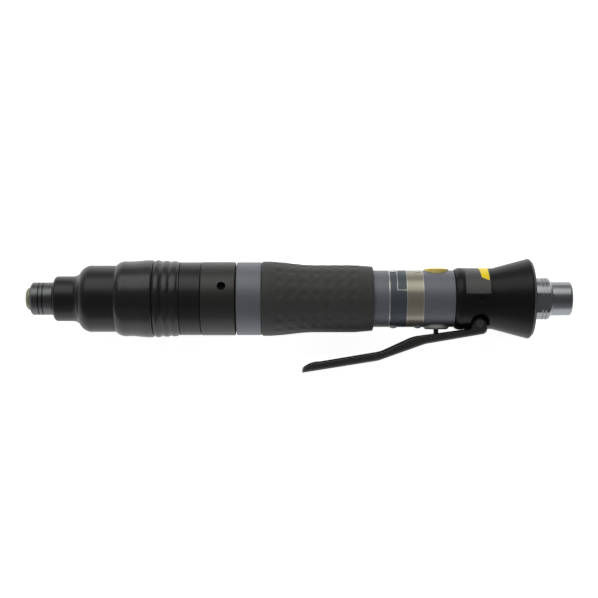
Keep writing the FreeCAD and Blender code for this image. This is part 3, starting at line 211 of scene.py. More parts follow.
class Finish:
    """One procedural material, built node by node on a Principled shader."""

    def __init__(self, name, colour, roughness, metallic=0.0, **constants):
        self.material = bpy.data.materials.new(name)
        self.material.use_nodes = True
        self.tree = self.material.node_tree
        self.shader = self.tree.nodes["Principled BSDF"]
        self.material.diffuse_color = (*colour, 1.0)
        self.set("Base Color", (*colour, 1.0))
        self.set("Roughness", roughness)
        self.set("Metallic", metallic)
        for key, value in constants.items():
            self.set(key.replace("_", " "), value)

    def set(self, socket, value):
        self.fill(self.shader.inputs[socket], value)

    def fill(self, socket, value):
        if isinstance(value, Maths):
            self.tree.links.new(value.socket, socket)
        elif isinstance(value, bpy.types.NodeSocket):
            self.tree.links.new(value, socket)
        else:
            socket.default_value = value

    def add(self, kind, settings, values):
        """A node of a type, with its settings first and then its sockets' values or links."""
        node = self.tree.nodes.new(kind)
        for key, value in settings.items():
            setattr(node, key, value)
        for key, value in values.items():
            self.fill(node.inputs[key], value)
        return node

    def maths(self, socket):
        return Maths(self, socket)

    def place(self):
        """The point on the piece in the tool's own directions, in millimetres."""
        coordinates = self.add("ShaderNodeTexCoord", {}, {})
        mapping = self.add("ShaderNodeMapping", {"vector_type": "POINT"},
                           {"Vector": coordinates.outputs["Object"],
                            "Rotation": (-ROLL, 0, 0), "Scale": (1 / MM, 1 / MM, 1 / MM)})
        return mapping.outputs[0]

    def parts(self, vector):
        split = self.add("ShaderNodeSeparateXYZ", {}, {0: vector})
        return [self.maths(split.outputs[i]) for i in range(3)]

    def vector(self, x, y, z):
        return self.add("ShaderNodeCombineXYZ", {}, {0: x, 1: y, 2: z}).outputs[0]

    def stretched(self, vector, x, y, z):
        """A vector scaled by three numbers."""
        return self.add("ShaderNodeVectorMath", {"operation": "MULTIPLY"},
                        {0: vector, 1: (x, y, z)}).outputs[0]

    def noise(self, vector, scale, detail=3.0, roughness=0.55):
        node = self.add("ShaderNodeTexNoise", {}, {"Vector": vector, "Scale": scale,
                                                   "Detail": detail, "Roughness": roughness})
        return self.maths(node.outputs["Fac"])

    def specks(self, vector, scale):
        node = self.add("ShaderNodeTexVoronoi", {"feature": "F1"},
                        {"Vector": vector, "Scale": scale})
        return self.maths(node.outputs["Distance"])

    def ramp(self, value, stops):
        """A value passed through (position, brightness) stops, in rising order."""
        node = self.add("ShaderNodeValToRGB", {}, {0: value})
        elements = node.color_ramp.elements
        for position, _ in stops[1:-1]:
            elements.new(position)
        for element, (position, level) in zip(elements, stops):
            element.position = position
            element.color = (level, level, level, 1)
        return self.maths(node.outputs[0])

    def marks(self, vector, scale, detail, low, high):
        """Scattered marks: noise that counts only from low to high, as 0 to 1."""
        return self.ramp(self.noise(vector, scale, detail), [(low, 0.0), (high, 1.0)])

    def tone(self, factor, colour, darkest, lightest):
        """Base colour that runs between two shades of a colour."""
        self.set("Base Color", self.blend(factor, shade(colour, darkest),
                                          shade(colour, lightest)))

    def blend(self, factor, first, second):
        """A colour between two, by a factor."""
        node = self.add("ShaderNodeMix", {"data_type": "RGBA"}, {0: factor})
        self.fill(node.inputs[6], first)
        self.fill(node.inputs[7], second)
        return node.outputs[2]

    def bump(self, height, distance, strength):
        """Adds relief: height 0 to 1 stands for distance in metres."""
        node = self.add("ShaderNodeBump", {}, {"Height": height, "Distance": distance,
                                               "Strength": strength})
        self.set("Normal", node.outputs[0])


def shade(colour, factor):
    """A colour made lighter or darker, with full alpha."""
    return (*[min(1.0, c * factor) for c in colour], 1.0)


def turned_rings(finish, place, pitch):
    """Fine lathe lines round the tool axis."""
    x = finish.parts(place)[0]
    return finish.noise(finish.vector(x / pitch, 0.0, 0.0), 1.0, detail=2.0)


def anodised(name, colour, roughness, metallic, sheen=0.5):
    """Anodised aluminium: faint lathe lines, slow drifts of tone and small rub marks."""
    finish = Finish(name, colour, roughness, metallic, Specular_IOR_Level=sheen)
    place = finish.place()
    drift = finish.noise(place, 0.08, detail=4.0)
    rings = turned_rings(finish, place, pitch=0.12)
    rubs = finish.marks(finish.stretched(place, 0.25, 1.0, 1.0), 0.9, 6.0, low=0.60, high=0.72)
    finish.tone(drift * 0.7 + rubs * 0.15, colour, 0.86, 1.22)
    finish.set("Roughness", drift * 0.10 + rings * 0.06 + rubs * 0.08 + (roughness - 0.1))
    finish.bump(rings * 0.8 + finish.noise(place, 2.0, detail=2.0) * 0.1, 0.000003, 0.3)
    return finish.material


def smooth_plastic(name, colour, roughness):
    """Moulded black cover: satin, with a fine skin and short handling marks."""
    finish = Finish(name, colour, roughness, Specular_IOR_Level=0.42)
    place = finish.place()
    marks = finish.marks(finish.stretched(place, 1.6, 0.22, 0.22), 1.2, 5.0, low=0.58, high=0.70)
    drift = finish.noise(place, 0.12, detail=3.0)
    finish.tone(drift * 0.5 + marks * 0.3, colour, 0.8, 1.6)
    finish.set("Roughness", marks * 0.09 + drift * 0.06 + (roughness - 0.05))
    finish.bump(finish.noise(place, 2.0, detail=2.0), 0.000003, 0.15)
    return finish.material


def phosphated(name, colour, roughness, skin):
    """Dark phosphated steel: grainy, with bright pin-pricks, and painted shade in its holes below a skin radius.
    """
    finish = Finish(name, colour, roughness, 0.35)
    place = finish.place()
    grain = finish.noise(place, 5.0, detail=6.0, roughness=0.7)
    specks = finish.ramp(finish.specks(place, 1.8), [(0.0, 1.0), (0.09, 0.0), (0.5, 0.0)])
    keep = finish.noise(place, 0.7, detail=2.0).above(0.56)
    dots = specks * keep
    surface = finish.blend(grain * 0.55 + dots * 0.5, shade(colour, 0.55), shade(colour, 2.6))
    across, up = finish.parts(place)[1:]
    # Painted shade: inside the ring's holes, below the skin radius, the colour is painted dark, rougher and not
    # metallic
    painted_hole_shade = (across * across + up * up).below(skin * skin)
    finish.set("Base Color", finish.blend(painted_hole_shade, surface, shade(colour, 0.1)))
    finish.set("Roughness", grain * 0.2 - dots * 0.1 + painted_hole_shade * 0.4 + (roughness - 0.1))
    finish.set("Metallic", 0.35 - painted_hole_shade * 0.35)
    finish.bump(grain * 0.7 + dots * 0.5, 0.000008, 0.5)
    return finish.material


def rubber(name, colour, roughness):
    """Moulded rubber: fine grain, a little dust in the grain and a soft sheen."""
    finish = Finish(name, colour, roughness, Specular_IOR_Level=0.2)
    place = finish.place()
    grain = finish.noise(place, 3.5, detail=5.0, roughness=0.65)
    dust = finish.noise(place, 0.35, detail=5.0)
    finish.tone(dust * 0.6 + grain * 0.35, colour, 0.65, 1.7)
    finish.set("Roughness", grain * 0.16 + dust * 0.1 + (roughness - 0.12))
    finish.bump(grain, 0.00005, 0.5)
    return finish.material


def turned_metal(name, colour, roughness, pitch=0.10, metallic=1.0, grooves=()):
    """Turned metal with lathe lines round the tool axis and painted shade in its grooves."""
    finish = Finish(name, colour, roughness, metallic)
    place = finish.place()
    x = finish.parts(place)[0]
    rings = turned_rings(finish, place, pitch)
    cloud = finish.noise(place, 0.5, detail=4.0)
    clean = finish.blend(cloud * 0.6 + rings * 0.3, shade(colour, 0.82), shade(colour, 1.1))
    # Painted shade: the grooves are painted dark, with a little random darkening from the cloud everywhere
    groove_shade = sum((x.between(low, high) for low, high in grooves), cloud * 0.1)
    finish.set("Base Color", finish.blend(groove_shade, clean, shade(colour, 0.25)))
    finish.set("Roughness", cloud * 0.12 + rings * 0.08 + (roughness - 0.08))
    finish.bump(rings, 0.000002, 0.5)
    return finish.material


def ground_metal(name, colour, roughness, metallic=1.0):
    """Ground or drawn metal with short fine scratches."""
    finish = Finish(name, colour, roughness, metallic)
    place = finish.place()
    scratches = finish.noise(finish.stretched(place, 1.0, 6.0, 1.0), 2.0, detail=6.0)
    cloud = finish.noise(place, 0.8, detail=3.0)
    finish.tone(cloud, colour, 0.8, 1.1)
    finish.set("Roughness", scratches * 0.2 + (roughness - 0.08))
    finish.bump(scratches, 0.0000015, 0.4)
    return finish.material


def blackened_sheet(name, colour, roughness):
    """Blackened sheet steel: lengthwise rolling marks and patches rubbed a little brighter."""
    finish = Finish(name, colour, roughness, 0.3)
    place = finish.place()
    rolling = finish.noise(finish.stretched(place, 0.15, 2.2, 2.2), 1.5, detail=5.0)
    wear = finish.marks(place, 0.45, 6.0, low=0.55, high=0.68)
    finish.tone(rolling * 0.5 + wear * 0.35, colour, 0.7, 2.2)
    finish.set("Roughness", rolling * 0.14 + wear * 0.1 + (roughness - 0.1))
    finish.bump(rolling, 0.0000015, 0.4)
    return finish.material


def lacquered(name, colour, roughness):
    """Black lacquer over aluminium with a slight ripple and hairline marks."""
    finish = Finish(name, colour, roughness, Specular_IOR_Level=0.16)
    place = finish.place()
    ripple = finish.noise(place, 0.6, detail=3.0)
    hairs = finish.marks(finish.stretched(place, 0.3, 2.6, 2.6), 1.3, 6.0, low=0.62, high=0.70)
    finish.tone(ripple * 0.5 + hairs * 0.3, colour, 0.75, 2.0)
    finish.set("Roughness", ripple * 0.1 + hairs * 0.12 + (roughness - 0.05))
    finish.bump(ripple, 0.000003, 0.15)
    return finish.material


def porous(name, colour, roughness):
    """Sintered silencer ring: packed grains with dark pores."""
    finish = Finish(name, colour, roughness)
    place = finish.place()
    grains = finish.specks(place, 1.6)
    pores = finish.ramp(grains, [(0.0, 1.0), (0.35, 0.75), (0.6, 0.1)])
    finish.tone(pores, colour, 0.3, 1.1)
    finish.bump(pores, 0.0002, 0.8)
    return finish.material


def printed_plate(name, look):
    """The bare name plate: a dark field and a champagne field between bright edge strips."""
    colour = look.plate_metal
    finish = Finish(name, colour, 0.38, 0.8)
    place = finish.place()
    x, y, z = finish.parts(place)
    front, rear = span("name_plate")
    brushed = finish.noise(finish.vector(x * 4.0, y * 0.3, z * 0.3), 2.0, detail=5.0)
    metal = finish.blend(brushed, shade(colour, 0.82), shade(colour, 1.12))
    dark_front = front + look.plate_strip / MM
    dark_rear = front + look.plate_dark_end / MM
    dark = x.between(dark_front, dark_rear)
    line = look.plate_line / MM
    cross = look.plate_cross_height / MM
    split = front + look.plate_divider / MM
    divider = x.near(split, line / 2) * y.above(cross)
    crossline = y.near(cross, line / 2) * x.between(split, dark_rear)
    field = dark * (1 - divider) * (1 - crossline)
    cloud = finish.noise(place, 0.7, detail=3.0)
    ink = finish.blend(cloud, shade(look.plate_dark, 0.85), shade(look.plate_dark, 1.2))
    strips = x.below(dark_front) + x.above(rear - line)
    strips = strips + x.near(dark_rear + line / 2, line / 2) + divider + crossline
    bare = finish.blend(strips, metal, (*look.plate_edge, 1.0))
    finish.set("Base Color", finish.blend(field, bare, ink))
    finish.set("Roughness", field * 0.14 + brushed * 0.12 + 0.26)
    finish.set("Metallic", 0.5 - field * 0.3)
    finish.bump(brushed * 0.3 + (1 - field) * 0.7, 0.000004, 0.5)
    return finish.material


def printed_label(name, look):
    """Grey film label with a plain yellow corner flash and no words."""
    colour = look.label_grey
    finish = Finish(name, colour, 0.42, Specular_IOR_Level=0.3)
    place = finish.place()
    x, y = finish.parts(place)[:2]
    margin = (look.label_front + look.label_length - look.label_margin) / MM
    corner = look.flash_front / MM
    low = look.flash_height / MM
    top = low + look.flash_rise / MM
    side = (x - (top - y) * look.flash_side_slope).above(corner)
    start = corner + look.flash_step / MM
    under = (y + (x - start) * look.flash_low_slope).above(low)
    flash = side * under * x.below(margin)
    specks = finish.noise(place, 2.2, detail=4.0)
    edge = x.above(margin)
    grey = finish.blend(specks * 0.5 + edge * 0.5, shade(colour, 0.75), shade(colour, 1.35))
    finish.set("Base Color", finish.blend(flash, grey, (*look.flash_colour, 1.0)))
    finish.set("Roughness", specks * 0.1 + 0.36)
    finish.bump(specks, 0.000008, 0.5)
    return finish.material


# Settings

def number(name, description, default, **limits):
    return bpy.props.FloatProperty(name=name, description=description, default=default, **limits)


def count(name, description, default):
    return bpy.props.IntProperty(name=name, description=description, default=default, min=1)


def length(name, description, default):
    return bpy.props.FloatProperty(name=name, description=description, default=default,
                                   subtype="DISTANCE", unit="LENGTH", precision=5)


def tint(name, description, default):
    return bpy.props.FloatVectorProperty(name=name, description=description, default=default,
                                         subtype="COLOR", size=3, min=0.0, max=1.0)


class ScrewdriverSizes(bpy.types.PropertyGroup):
    """Sizes of the pieces that are made here."""

    dimple_diameter: length("Dimple Diameter", "Width of one round dimple of the grip", 0.0031)
    dimple_depth: length("Dimple Depth", "Depth of the grip's dimples", 0.00026)
    dimple_pitch: length("Dimple Pitch", "Distance between dimple rings along the grip", 0.00587)
    first_dimple: length("First Dimple", "First dimple ring from the grip's front", 0.0083)
    dimple_rings: count("Dimple Rings", "Rings of dimples", 7)
    dimple_rows: count("Dimple Rows", "Dimples in one ring", 18)
    dimple_edge: length("Dimple Edge", "Width of a dimple's rounded edge", 0.0013)
    first_row: number("First Row", "Degrees of the first dimple from the plate side", 7.3)
    seam_angle: number("Seam Angle", "Degrees of the mould's parting line", 48.0)
    seam_depth: length("Seam Depth", "Depth of the parting line", 0.00005)
    seam_slope: number("Seam Slope", "How fast the parting line fades, per degree", 0.6)
    grid_step: length("Grid Step", "Spacing of the grip's mesh points", 0.00028)
    film_height: length("Film Height", "How far the label stands off its housing", 0.00007)
    film_sink: length("Film Sink", "How far the label's underside lies in its housing", 0.00002)
    thread_pitch: length("Thread Pitch", "Pitch of the air inlet's thread", 0.001337)
    thread_height: length("Thread Height", "How far the thread stands into the bore", 0.00035)
    thread_sink: length("Thread Sink", "How far the thread's foot lies in the wall", 0.00002)
    thread_front: length("Thread Front", "Plain length at the thread's inner end", 0.0005)
    thread_rear: length("Thread Rear", "Plain length at the thread's mouth", 0.0006)
    thread_foot: number("Thread Foot", "Half width of its foot, as a share of the pitch", 0.32)
    thread_crest: number("Thread Crest", "Half width of its crest, as a share of the pitch", 0.05)
    thread_steps: count("Thread Steps", "Mesh steps in one turn of the thread", 48)


class ScrewdriverLook(bpy.types.PropertyGroup):
    """Colours, and the places of the print and of the sleeve's grooves."""

    black_anodise: tint("Black Anodise", "Clutch housing and lock ring", (0.011, 0.011, 0.012))
    cover_black: tint("Cover Black", "Ribbed clutch cover", (0.012, 0.012, 0.013))
    gear_dark: tint("Phosphate", "Gear ring", (0.026, 0.026, 0.025))
    grey_anodise: tint("Grey Anodise", "Motor housing", (0.150, 0.157, 0.186))
    grip_black: tint("Grip Rubber", "Rubber grip", (0.052, 0.052, 0.051))
    lacquer_black: tint("Lacquer", "Rear housing", (0.008, 0.008, 0.0085))
    lever_black: tint("Lever Steel", "Lever", (0.032, 0.032, 0.031))
    plate_metal: tint("Plate Metal", "Champagne metal of the name plate", (0.31, 0.285, 0.23))
    plate_dark: tint("Plate Field", "Dark printed field of the plate", (0.060, 0.074, 0.092))
    label_grey: tint("Label Grey", "Film label on the rear housing", (0.085, 0.085, 0.085))
    flash_colour: tint("Label Flash", "Yellow flash of the label", (1.0, 0.74, 0.01))
    nickel: tint("Nickel", "Air inlet", (0.29, 0.30, 0.315))
    brass: tint("Brass", "Valve seat and inlet screen", (0.85, 0.62, 0.28))
    plate_edge: tint("Plate Strips", "Bright strips and lines of the plate", (0.46, 0.46, 0.44))
    groove_start: length("Sleeve Groove", "First groove from the sleeve's front", 0.0038)
    groove_pitch: length("Groove Pitch", "Distance between the sleeve's grooves", 0.0020)
    # Width of the painted shade in each of the sleeve's grooves
    shaded_groove_width: length("Groove Width", "Width of the dirt in a groove", 0.0006)
    # How far in from the gear ring's outer radius its holes get painted shade
    hole_shade_depth: length("Skin Depth", "How far the gear ring's dry skin reaches in", 0.00035)
    plate_strip: length("Plate Strip", "Bright strip at the front of the plate", 0.0005)
    plate_line: length("Plate Line", "Width of the plate's bright lines", 0.0003)
    plate_dark_end: length("Dark Field End", "Where the plate's dark field ends", 0.0083)
    plate_divider: length("Plate Divider", "Bright line along the dark field", 0.0039)
    plate_cross_height: length("Cross Line Height", "Bright line across the field", 0.0041)
    label_front: length("Label Front", "Front edge of the label along the tool", 0.2091)
    label_length: length("Label Length", "Length of the label along the tool", 0.0115)
    label_margin: length("Label Margin", "Pale margin at the label's rear edge", 0.0003)
    label_low: number("Label Low Edge", "Degrees above the plate side", 9.5)
    label_high: number("Label High Edge", "Degrees above the plate side", 150.0)
    flash_front: length("Flash Front", "Front corner of the yellow flash", 0.2161)
    flash_height: length("Flash Height", "Height of its lower front corner", 0.0100)
    flash_rise: length("Flash Rise", "From there up to where its front edge starts", 0.0045)
    flash_step: length("Flash Step", "From its corner back to where it is that low", 0.001)
    flash_side_slope: number("Flash Front Slope", "Slope of its front edge", 0.15)
    flash_low_slope: number("Flash Low Slope", "Slope of its lower edge", 0.42)


class ScrewdriverStage(bpy.types.PropertyGroup):
    """The camera and the lights."""

    camera_distance: length("Camera Distance", "Camera to the tool axis", 0.638)
    lens: number("Lens", "Focal length", 80.1, subtype="DISTANCE_CAMERA", unit="CAMERA")
    aim_x: length("Aim Along", "Point along the tool at the picture's middle", 0.1305)
    aim_up: length("Aim Up", "Height of that point above the axis, away from the lever", -0.00016)
    floor_reach: length("Floor Reach", "From the floor's middle to each edge", 3.0)
    floor_glow: number("Floor Glow", "Light of the floor", 0.9, min=0.0)
    wall_glow: number("Wall Glow", "Light low round the tool", 0.42, min=0.0)
    dark_glow: number("Dark Glow", "Light behind the camera", 0.14, min=0.0)
    dark_start: number("Dark Start", "Cosine at which the glow is at its least", 0.36)
    dark_tilt: number("Dark Tilt", "Leans the dark to the lever", 0.35)
    light_shift: length("Light Shift", "Softboxes' place along the tool", -0.20)
    light_height: length("Light Height", "Softboxes' distance towards the camera", 0.60)
    light_spread: length("Light Spread", "Softboxes' distance to either side", 0.80)
    light_long: length("Light Length", "Softboxes' size along the tool", 1.2)
    light_short: length("Light Width", "Softboxes' size across the tool", 0.78)
    far_light: number("Far Light", "Softbox beyond the tool", 6.0, min=0.0, unit="POWER")
    near_light: number("Near Light", "Softbox at the lever side", 0.6, min=0.0, unit="POWER")


# What the operators share

def finish_nodes(finishes):
    """Gives each named CAD node its material."""
    for node, material in finishes.items():
        slots = frame["nodes"][node].data.materials
        slots.clear()
        slots.append(material)


def radius_under_grip(node):
    """A little less than the smallest outer radius that a node has under the grip."""
    places, outer = outline(node)
    front, rear = span("grip")
    margin, slack = 1.0, 0.3
    under = outer[(places > front + margin) & (places < rear - margin)]
    return float(under.min()) - slack if len(under) else 0.0


def squeeze(node, joint):
    """Gives a spring its own copy of its mesh; the share by which a joint's travel would shorten it from its far
    end is worked out but not applied.
    """
    slide = Vector(JOINTS[joint]["axis"]).normalized()
    spring = frame["nodes"][node]
    ends = sorted((vertex.co for vertex in spring.data.vertices), key=slide.dot)
    free_length = slide.dot(ends[-1] - ends[0])
    travel = max(abs(limit) for limit in JOINTS[joint]["range_m"])
    1 - travel / free_length
    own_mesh(spring)


def settings(context):
    scene = context.scene
    return scene.screwdriver_sizes, scene.screwdriver_look, scene.screwdriver_stage


# Operators, one for each piece or group of like pieces

class SCREWDRIVER_OT_housings(bpy.types.Operator):
    """Finishes the outer housings, rings and cover"""

    bl_idname = "screwdriver.housings"
    bl_label = "Housings and Cover"

    def execute(self, context):
        look = settings(context)[1]
        ring_radius = float(outline("gear_ring")[1].max())
        # Radius below which the gear ring's holes get painted shade
        skin = ring_radius - look.hole_shade_depth / MM
        black = anodised("black_anodise", look.black_anodise, 0.36, 0.05, sheen=0.32)
        finish_nodes({
            "clutch_housing": black,
            "lock_ring": black,
            "clutch_cover": smooth_plastic("cover_black", look.cover_black, 0.31),
            "gear_ring": phosphated("phosphate", look.gear_dark, 0.42, skin),
            "motor_housing": anodised("grey_anodise", look.grey_anodise, 0.50, 0.2),
            "rear_housing": lacquered("lacquer", look.lacquer_black, 0.33),
        })
        return {"FINISHED"}


class SCREWDRIVER_OT_grip(bpy.types.Operator):
    """Makes the dimpled rubber grip over its plain CAD sleeve"""

    bl_idname = "screwdriver.grip"
    bl_label = "Rubber Grip"

    def execute(self, context):
        sizes, look, _ = settings(context)
        front, rear = span("grip")
        places, outer = outline("grip", radius_under_grip("motor_housing"))
        inner = float(np.hypot(*tool_points("grip")[:, 1:].T).min())
        step = sizes.grid_step / MM
        rows = int(round((rear - front) / step))
        columns = int(round(2 * math.pi * outer.max() / step / 12)) * 12
        x = np.linspace(front, rear, rows)
        degrees = np.linspace(0, 360, columns, endpoint=False)
        radius = np.interp(x, places, outer)
        along, about = np.meshgrid(x, degrees, indexing="ij")
        depth = self.dimples(sizes, along, about, radius[:, None], front)
        points = round_about(along, radius[:, None] - depth, about).reshape(-1, 3)
        faces = grid_faces(rows, columns, True)
        start = len(points)
        last = start - columns
        ends = [round_about(place, inner, degrees) for place in (front, rear)]
        points = np.concatenate([points, *ends])
        for j in range(columns):
            k = (j + 1) % columns
            faces.append((k, j, start + j, start + k))
            faces.append((last + j, last + k, start + columns + k, start + columns + j))
            faces.append((start + k, start + j, start + columns + j, start + columns + k))
        grip = add_piece("grip_rubber", points, faces, "tool_body",
                         corner_angle=50)
        grip.data.materials.append(rubber("grip_rubber", look.grip_black, 0.55))
        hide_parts("grip")
        return {"FINISHED"}

    def dimples(self, sizes, along, about, radius, front):
        """Depth of the dimples and of the mould's parting line at each point, in millimetres."""
        deepest = np.zeros_like(along)
        reach = sizes.dimple_diameter / MM / 2
        soft = sizes.dimple_edge / MM
        turn = 360 / sizes.dimple_rows
        nearest_row = (about - sizes.first_row + turn / 2) % turn - turn / 2
        across = np.radians(nearest_row) * radius
        for i in range(sizes.dimple_rings):
            centre = front + (sizes.first_dimple + i * sizes.dimple_pitch) / MM
            distance = np.hypot(along - centre, across)
            wall = np.clip((reach + soft / 2 - distance) / soft, 0, 1)
            deepest = np.maximum(deepest, wall * wall * (3 - 2 * wall))
        from_seam = np.abs((about - sizes.seam_angle + 90) % 180 - 90)
        parting = np.clip(1 - from_seam * sizes.seam_slope, 0, 1)
        return (deepest * sizes.dimple_depth + parting * sizes.seam_depth) / MM


class SCREWDRIVER_OT_plate(bpy.types.Operator):
    """Finishes the bare name plate and its rivets"""

    bl_idname = "screwdriver.plate"
    bl_label = "Name Plate"

    def execute(self, context):
        look = settings(context)[1]
        finish_nodes({
            "name_plate": printed_plate("plate_print", look),
            "plate_rivets": ground_metal("rivet_metal", (0.95, 0.95, 0.92), 0.36, 0.3),
        })
        return {"FINISHED"}


class SCREWDRIVER_OT_label(bpy.types.Operator):
    """Lays the film label on the rear housing"""

    bl_idname = "screwdriver.label"
    bl_label = "Rear Label"

    def execute(self, context):
        sizes, look, _ = settings(context)
        places, outer = outline("rear_housing", floor=13.0, window=(14, 145))
        rows, columns = 25, 97
        front = look.label_front / MM
        x = np.linspace(front, front + look.label_length / MM, rows)
        degrees = np.linspace(look.label_low, look.label_high, columns)
        along, about = np.meshgrid(x, degrees, indexing="ij")
        radius = np.interp(x, places, outer)[:, None]
        top, under = (round_about(along, radius + rise / MM, about).reshape(-1, 3)
                      for rise in (sizes.film_height, -sizes.film_sink))
        points, faces = closed_sheet(top, under, columns)
        label = add_piece("rear_label", points, faces, "tool_body",
                          corner_angle=40)
        label.data.materials.append(printed_label("label_film", look))
        return {"FINISHED"}


class SCREWDRIVER_OT_bit_holder(bpy.types.Operator):
    """Finishes the spindle nose, the pull sleeve and what they hold"""

    bl_idname = "screwdriver.bit_holder"
    bl_label = "Bit Holder"

    def execute(self, context):
        look = settings(context)[1]
        front = span("chuck_sleeve")[0]
        # The sleeve's front chamfer and two grooves, where painted shade goes
        chamfer = front - 0.1
        groove = front + look.groove_start / MM
        starts = (chamfer, groove, groove + look.groove_pitch / MM)
        grooves = [(start, start + look.shaded_groove_width / MM) for start in starts]
        finish_nodes({
            "spindle": turned_metal("spindle_steel", (0.29, 0.30, 0.20), 0.42, metallic=0.3),
            "chuck_sleeve": turned_metal("sleeve_steel", (0.115, 0.115, 0.12), 0.34, 0.16,
                                         grooves=grooves),
            "bit_ball": ground_metal("ball_steel", (0.72, 0.72, 0.74), 0.12),
            "chuck_spring": ground_metal("chuck_spring_wire", (0.45, 0.45, 0.47), 0.3),
            "chuck_snap_ring": ground_metal("snap_ring_steel", (0.30, 0.30, 0.31), 0.35),
        })
        squeeze("chuck_spring", "sleeve_pull")
        return {"FINISHED"}


class SCREWDRIVER_OT_inlet(bpy.types.Operator):
    """Finishes the air inlet, adds its thread, and finishes the silencer"""

    bl_idname = "screwdriver.inlet"
    bl_label = "Air Inlet"

    def execute(self, context):
        sizes, look, _ = settings(context)
        finish_nodes({
            "inlet_bushing": turned_metal("nickel", look.nickel, 0.28, 0.14),
            "inlet_screen": ground_metal("screen_brass", look.brass, 0.35),
            "silencer": porous("sintered", (0.30, 0.30, 0.28), 0.8),
        })
        mount = next(m for m in frame["record"]["mounts"] if m["name"] == "air_inlet")
        foot = mount["dims"]["r_mm"] + sizes.thread_sink / MM
        mouth = span("inlet_bushing")[1]
        rear = mouth - sizes.thread_rear / MM
        front = mouth - mount["dims"]["length_mm"] + sizes.thread_front / MM
        pitch = sizes.thread_pitch / MM
        height = sizes.thread_height / MM
        turns = (rear - front) / pitch
        steps = int(turns * sizes.thread_steps)
        points = []
        for i in range(steps + 1):
            share = i / steps
            x = front + (rear - front) * share
            angle = 2 * math.pi * turns * share
            fade = min(1.0, min(share, 1 - share) * turns * 2)
            crest = foot - height * fade
            for offset, radius in ((-sizes.thread_foot, foot), (-sizes.thread_crest, crest),
                                   (sizes.thread_crest, crest), (sizes.thread_foot, foot)):
                points.append((x + offset * pitch, radius * math.cos(angle),
                               radius * math.sin(angle)))
        faces = grid_faces(steps + 1, 4, True)
        faces += [(3, 2, 1, 0), tuple(steps * 4 + i for i in range(4))]
        thread = add_piece("inlet_thread", points, faces, "tool_body",
                           corner_angle=40)
        thread.data.materials.append(frame["nodes"]["inlet_bushing"].data.materials[0])
        return {"FINISHED"}


class SCREWDRIVER_OT_valve(bpy.types.Operator):
    """Finishes the throttle bushing, its pin and the thumb button"""

    bl_idname = "screwdriver.valve"
    bl_label = "Throttle and Button"

    def execute(self, context):
        look = settings(context)[1]
        brass = ground_metal("brass", look.brass, 0.28)
        spring = ground_metal("valve_spring_wire", (0.5, 0.5, 0.52), 0.3)
        finish_nodes({
            "throttle_bushing": ground_metal("bushing_steel", (0.78, 0.78, 0.76), 0.42, 0.25),
            "throttle_pin": ground_metal("pin_steel", (0.06, 0.06, 0.065), 0.35),
            "throttle_spring": spring,
            "reverse_spring": spring,
            "valve_seat": brass,
            "reverse_button": ground_metal("button_brass", (1.0, 0.74, 0.21), 0.38, 0.25),
            "button_o_ring": rubber("seal_rubber", (0.015, 0.015, 0.015), 0.5),
        })
        squeeze("throttle_spring", "throttle_pin_slide")
        squeeze("reverse_spring", "reverse_button_press")
        return {"FINISHED"}


class SCREWDRIVER_OT_lever(bpy.types.Operator):
    """Finishes the lever, its cross screw and the set screws"""

    bl_idname = "screwdriver.lever"
    bl_label = "Lever"

    def execute(self, context):
        look = settings(context)[1]
        finish_nodes({
            "lever": blackened_sheet("lever_steel", look.lever_black, 0.46),
            "lever_pivot_screw": ground_metal("pivot_screw", (0.20, 0.20, 0.20), 0.26, 0.9),
            "set_screws": ground_metal("dark_screw", (0.012, 0.012, 0.012), 0.40, 0.3),
        })
        return {"FINISHED"}


class SCREWDRIVER_OT_works(bpy.types.Operator):
    """Finishes the clutch, gears, bearings and motor inside"""

    bl_idname = "screwdriver.works"
    bl_label = "Inner Works"

    def execute(self, context):
        machined = turned_metal("machined_steel", (0.50, 0.51, 0.53), 0.30)
        ground = ground_metal("bearing_steel", (0.62, 0.63, 0.65), 0.2)
        spring = ground_metal("spring_wire", (0.42, 0.42, 0.45), 0.32)
        gear = ground_metal("gear_steel", (0.40, 0.40, 0.42), 0.34)
        cast = ground_metal("cast_end_plate", (0.26, 0.26, 0.27), 0.5)
        seal = rubber("o_ring_rubber", (0.015, 0.015, 0.015), 0.5)
        fibre = rubber("vane_fibre", (0.16, 0.09, 0.045), 0.6)
        finish_nodes({
            **{node: machined for node in ("clutch_plate", "adjusting_nut", "output_carrier",
                                           "input_carrier", "rotor", "motor_cylinder",
                                           "drive_keys")},
            **{node: ground for node in ("front_bearing_outer", "front_bearing_inner",
                                         "carrier_bearing_outer", "carrier_bearing_inner",
                                         "rotor_front_bearing_outer", "clutch_balls",
                                         "rotor_front_bearing_inner",
                                         "rotor_rear_bearing_outer",
                                         "rotor_rear_bearing_inner", "output_planet_pins",
                                         "input_planet_pins")},
            "bearing_retainer": spring,
            "clutch_spring": spring,
            "thrust_washer": ground_metal("washer_bronze", (0.55, 0.36, 0.18), 0.4),
            "front_end_plate": cast,
            "rear_end_plate": cast,
            "cover_o_ring": seal,
            "rotor_vanes": fibre,
            **{"%s_planet_%d" % (stage, i): gear
               for stage in ("output", "input") for i in (1, 2, 3)},
        })
        squeeze("clutch_spring", "clutch_release")
        return {"FINISHED"}


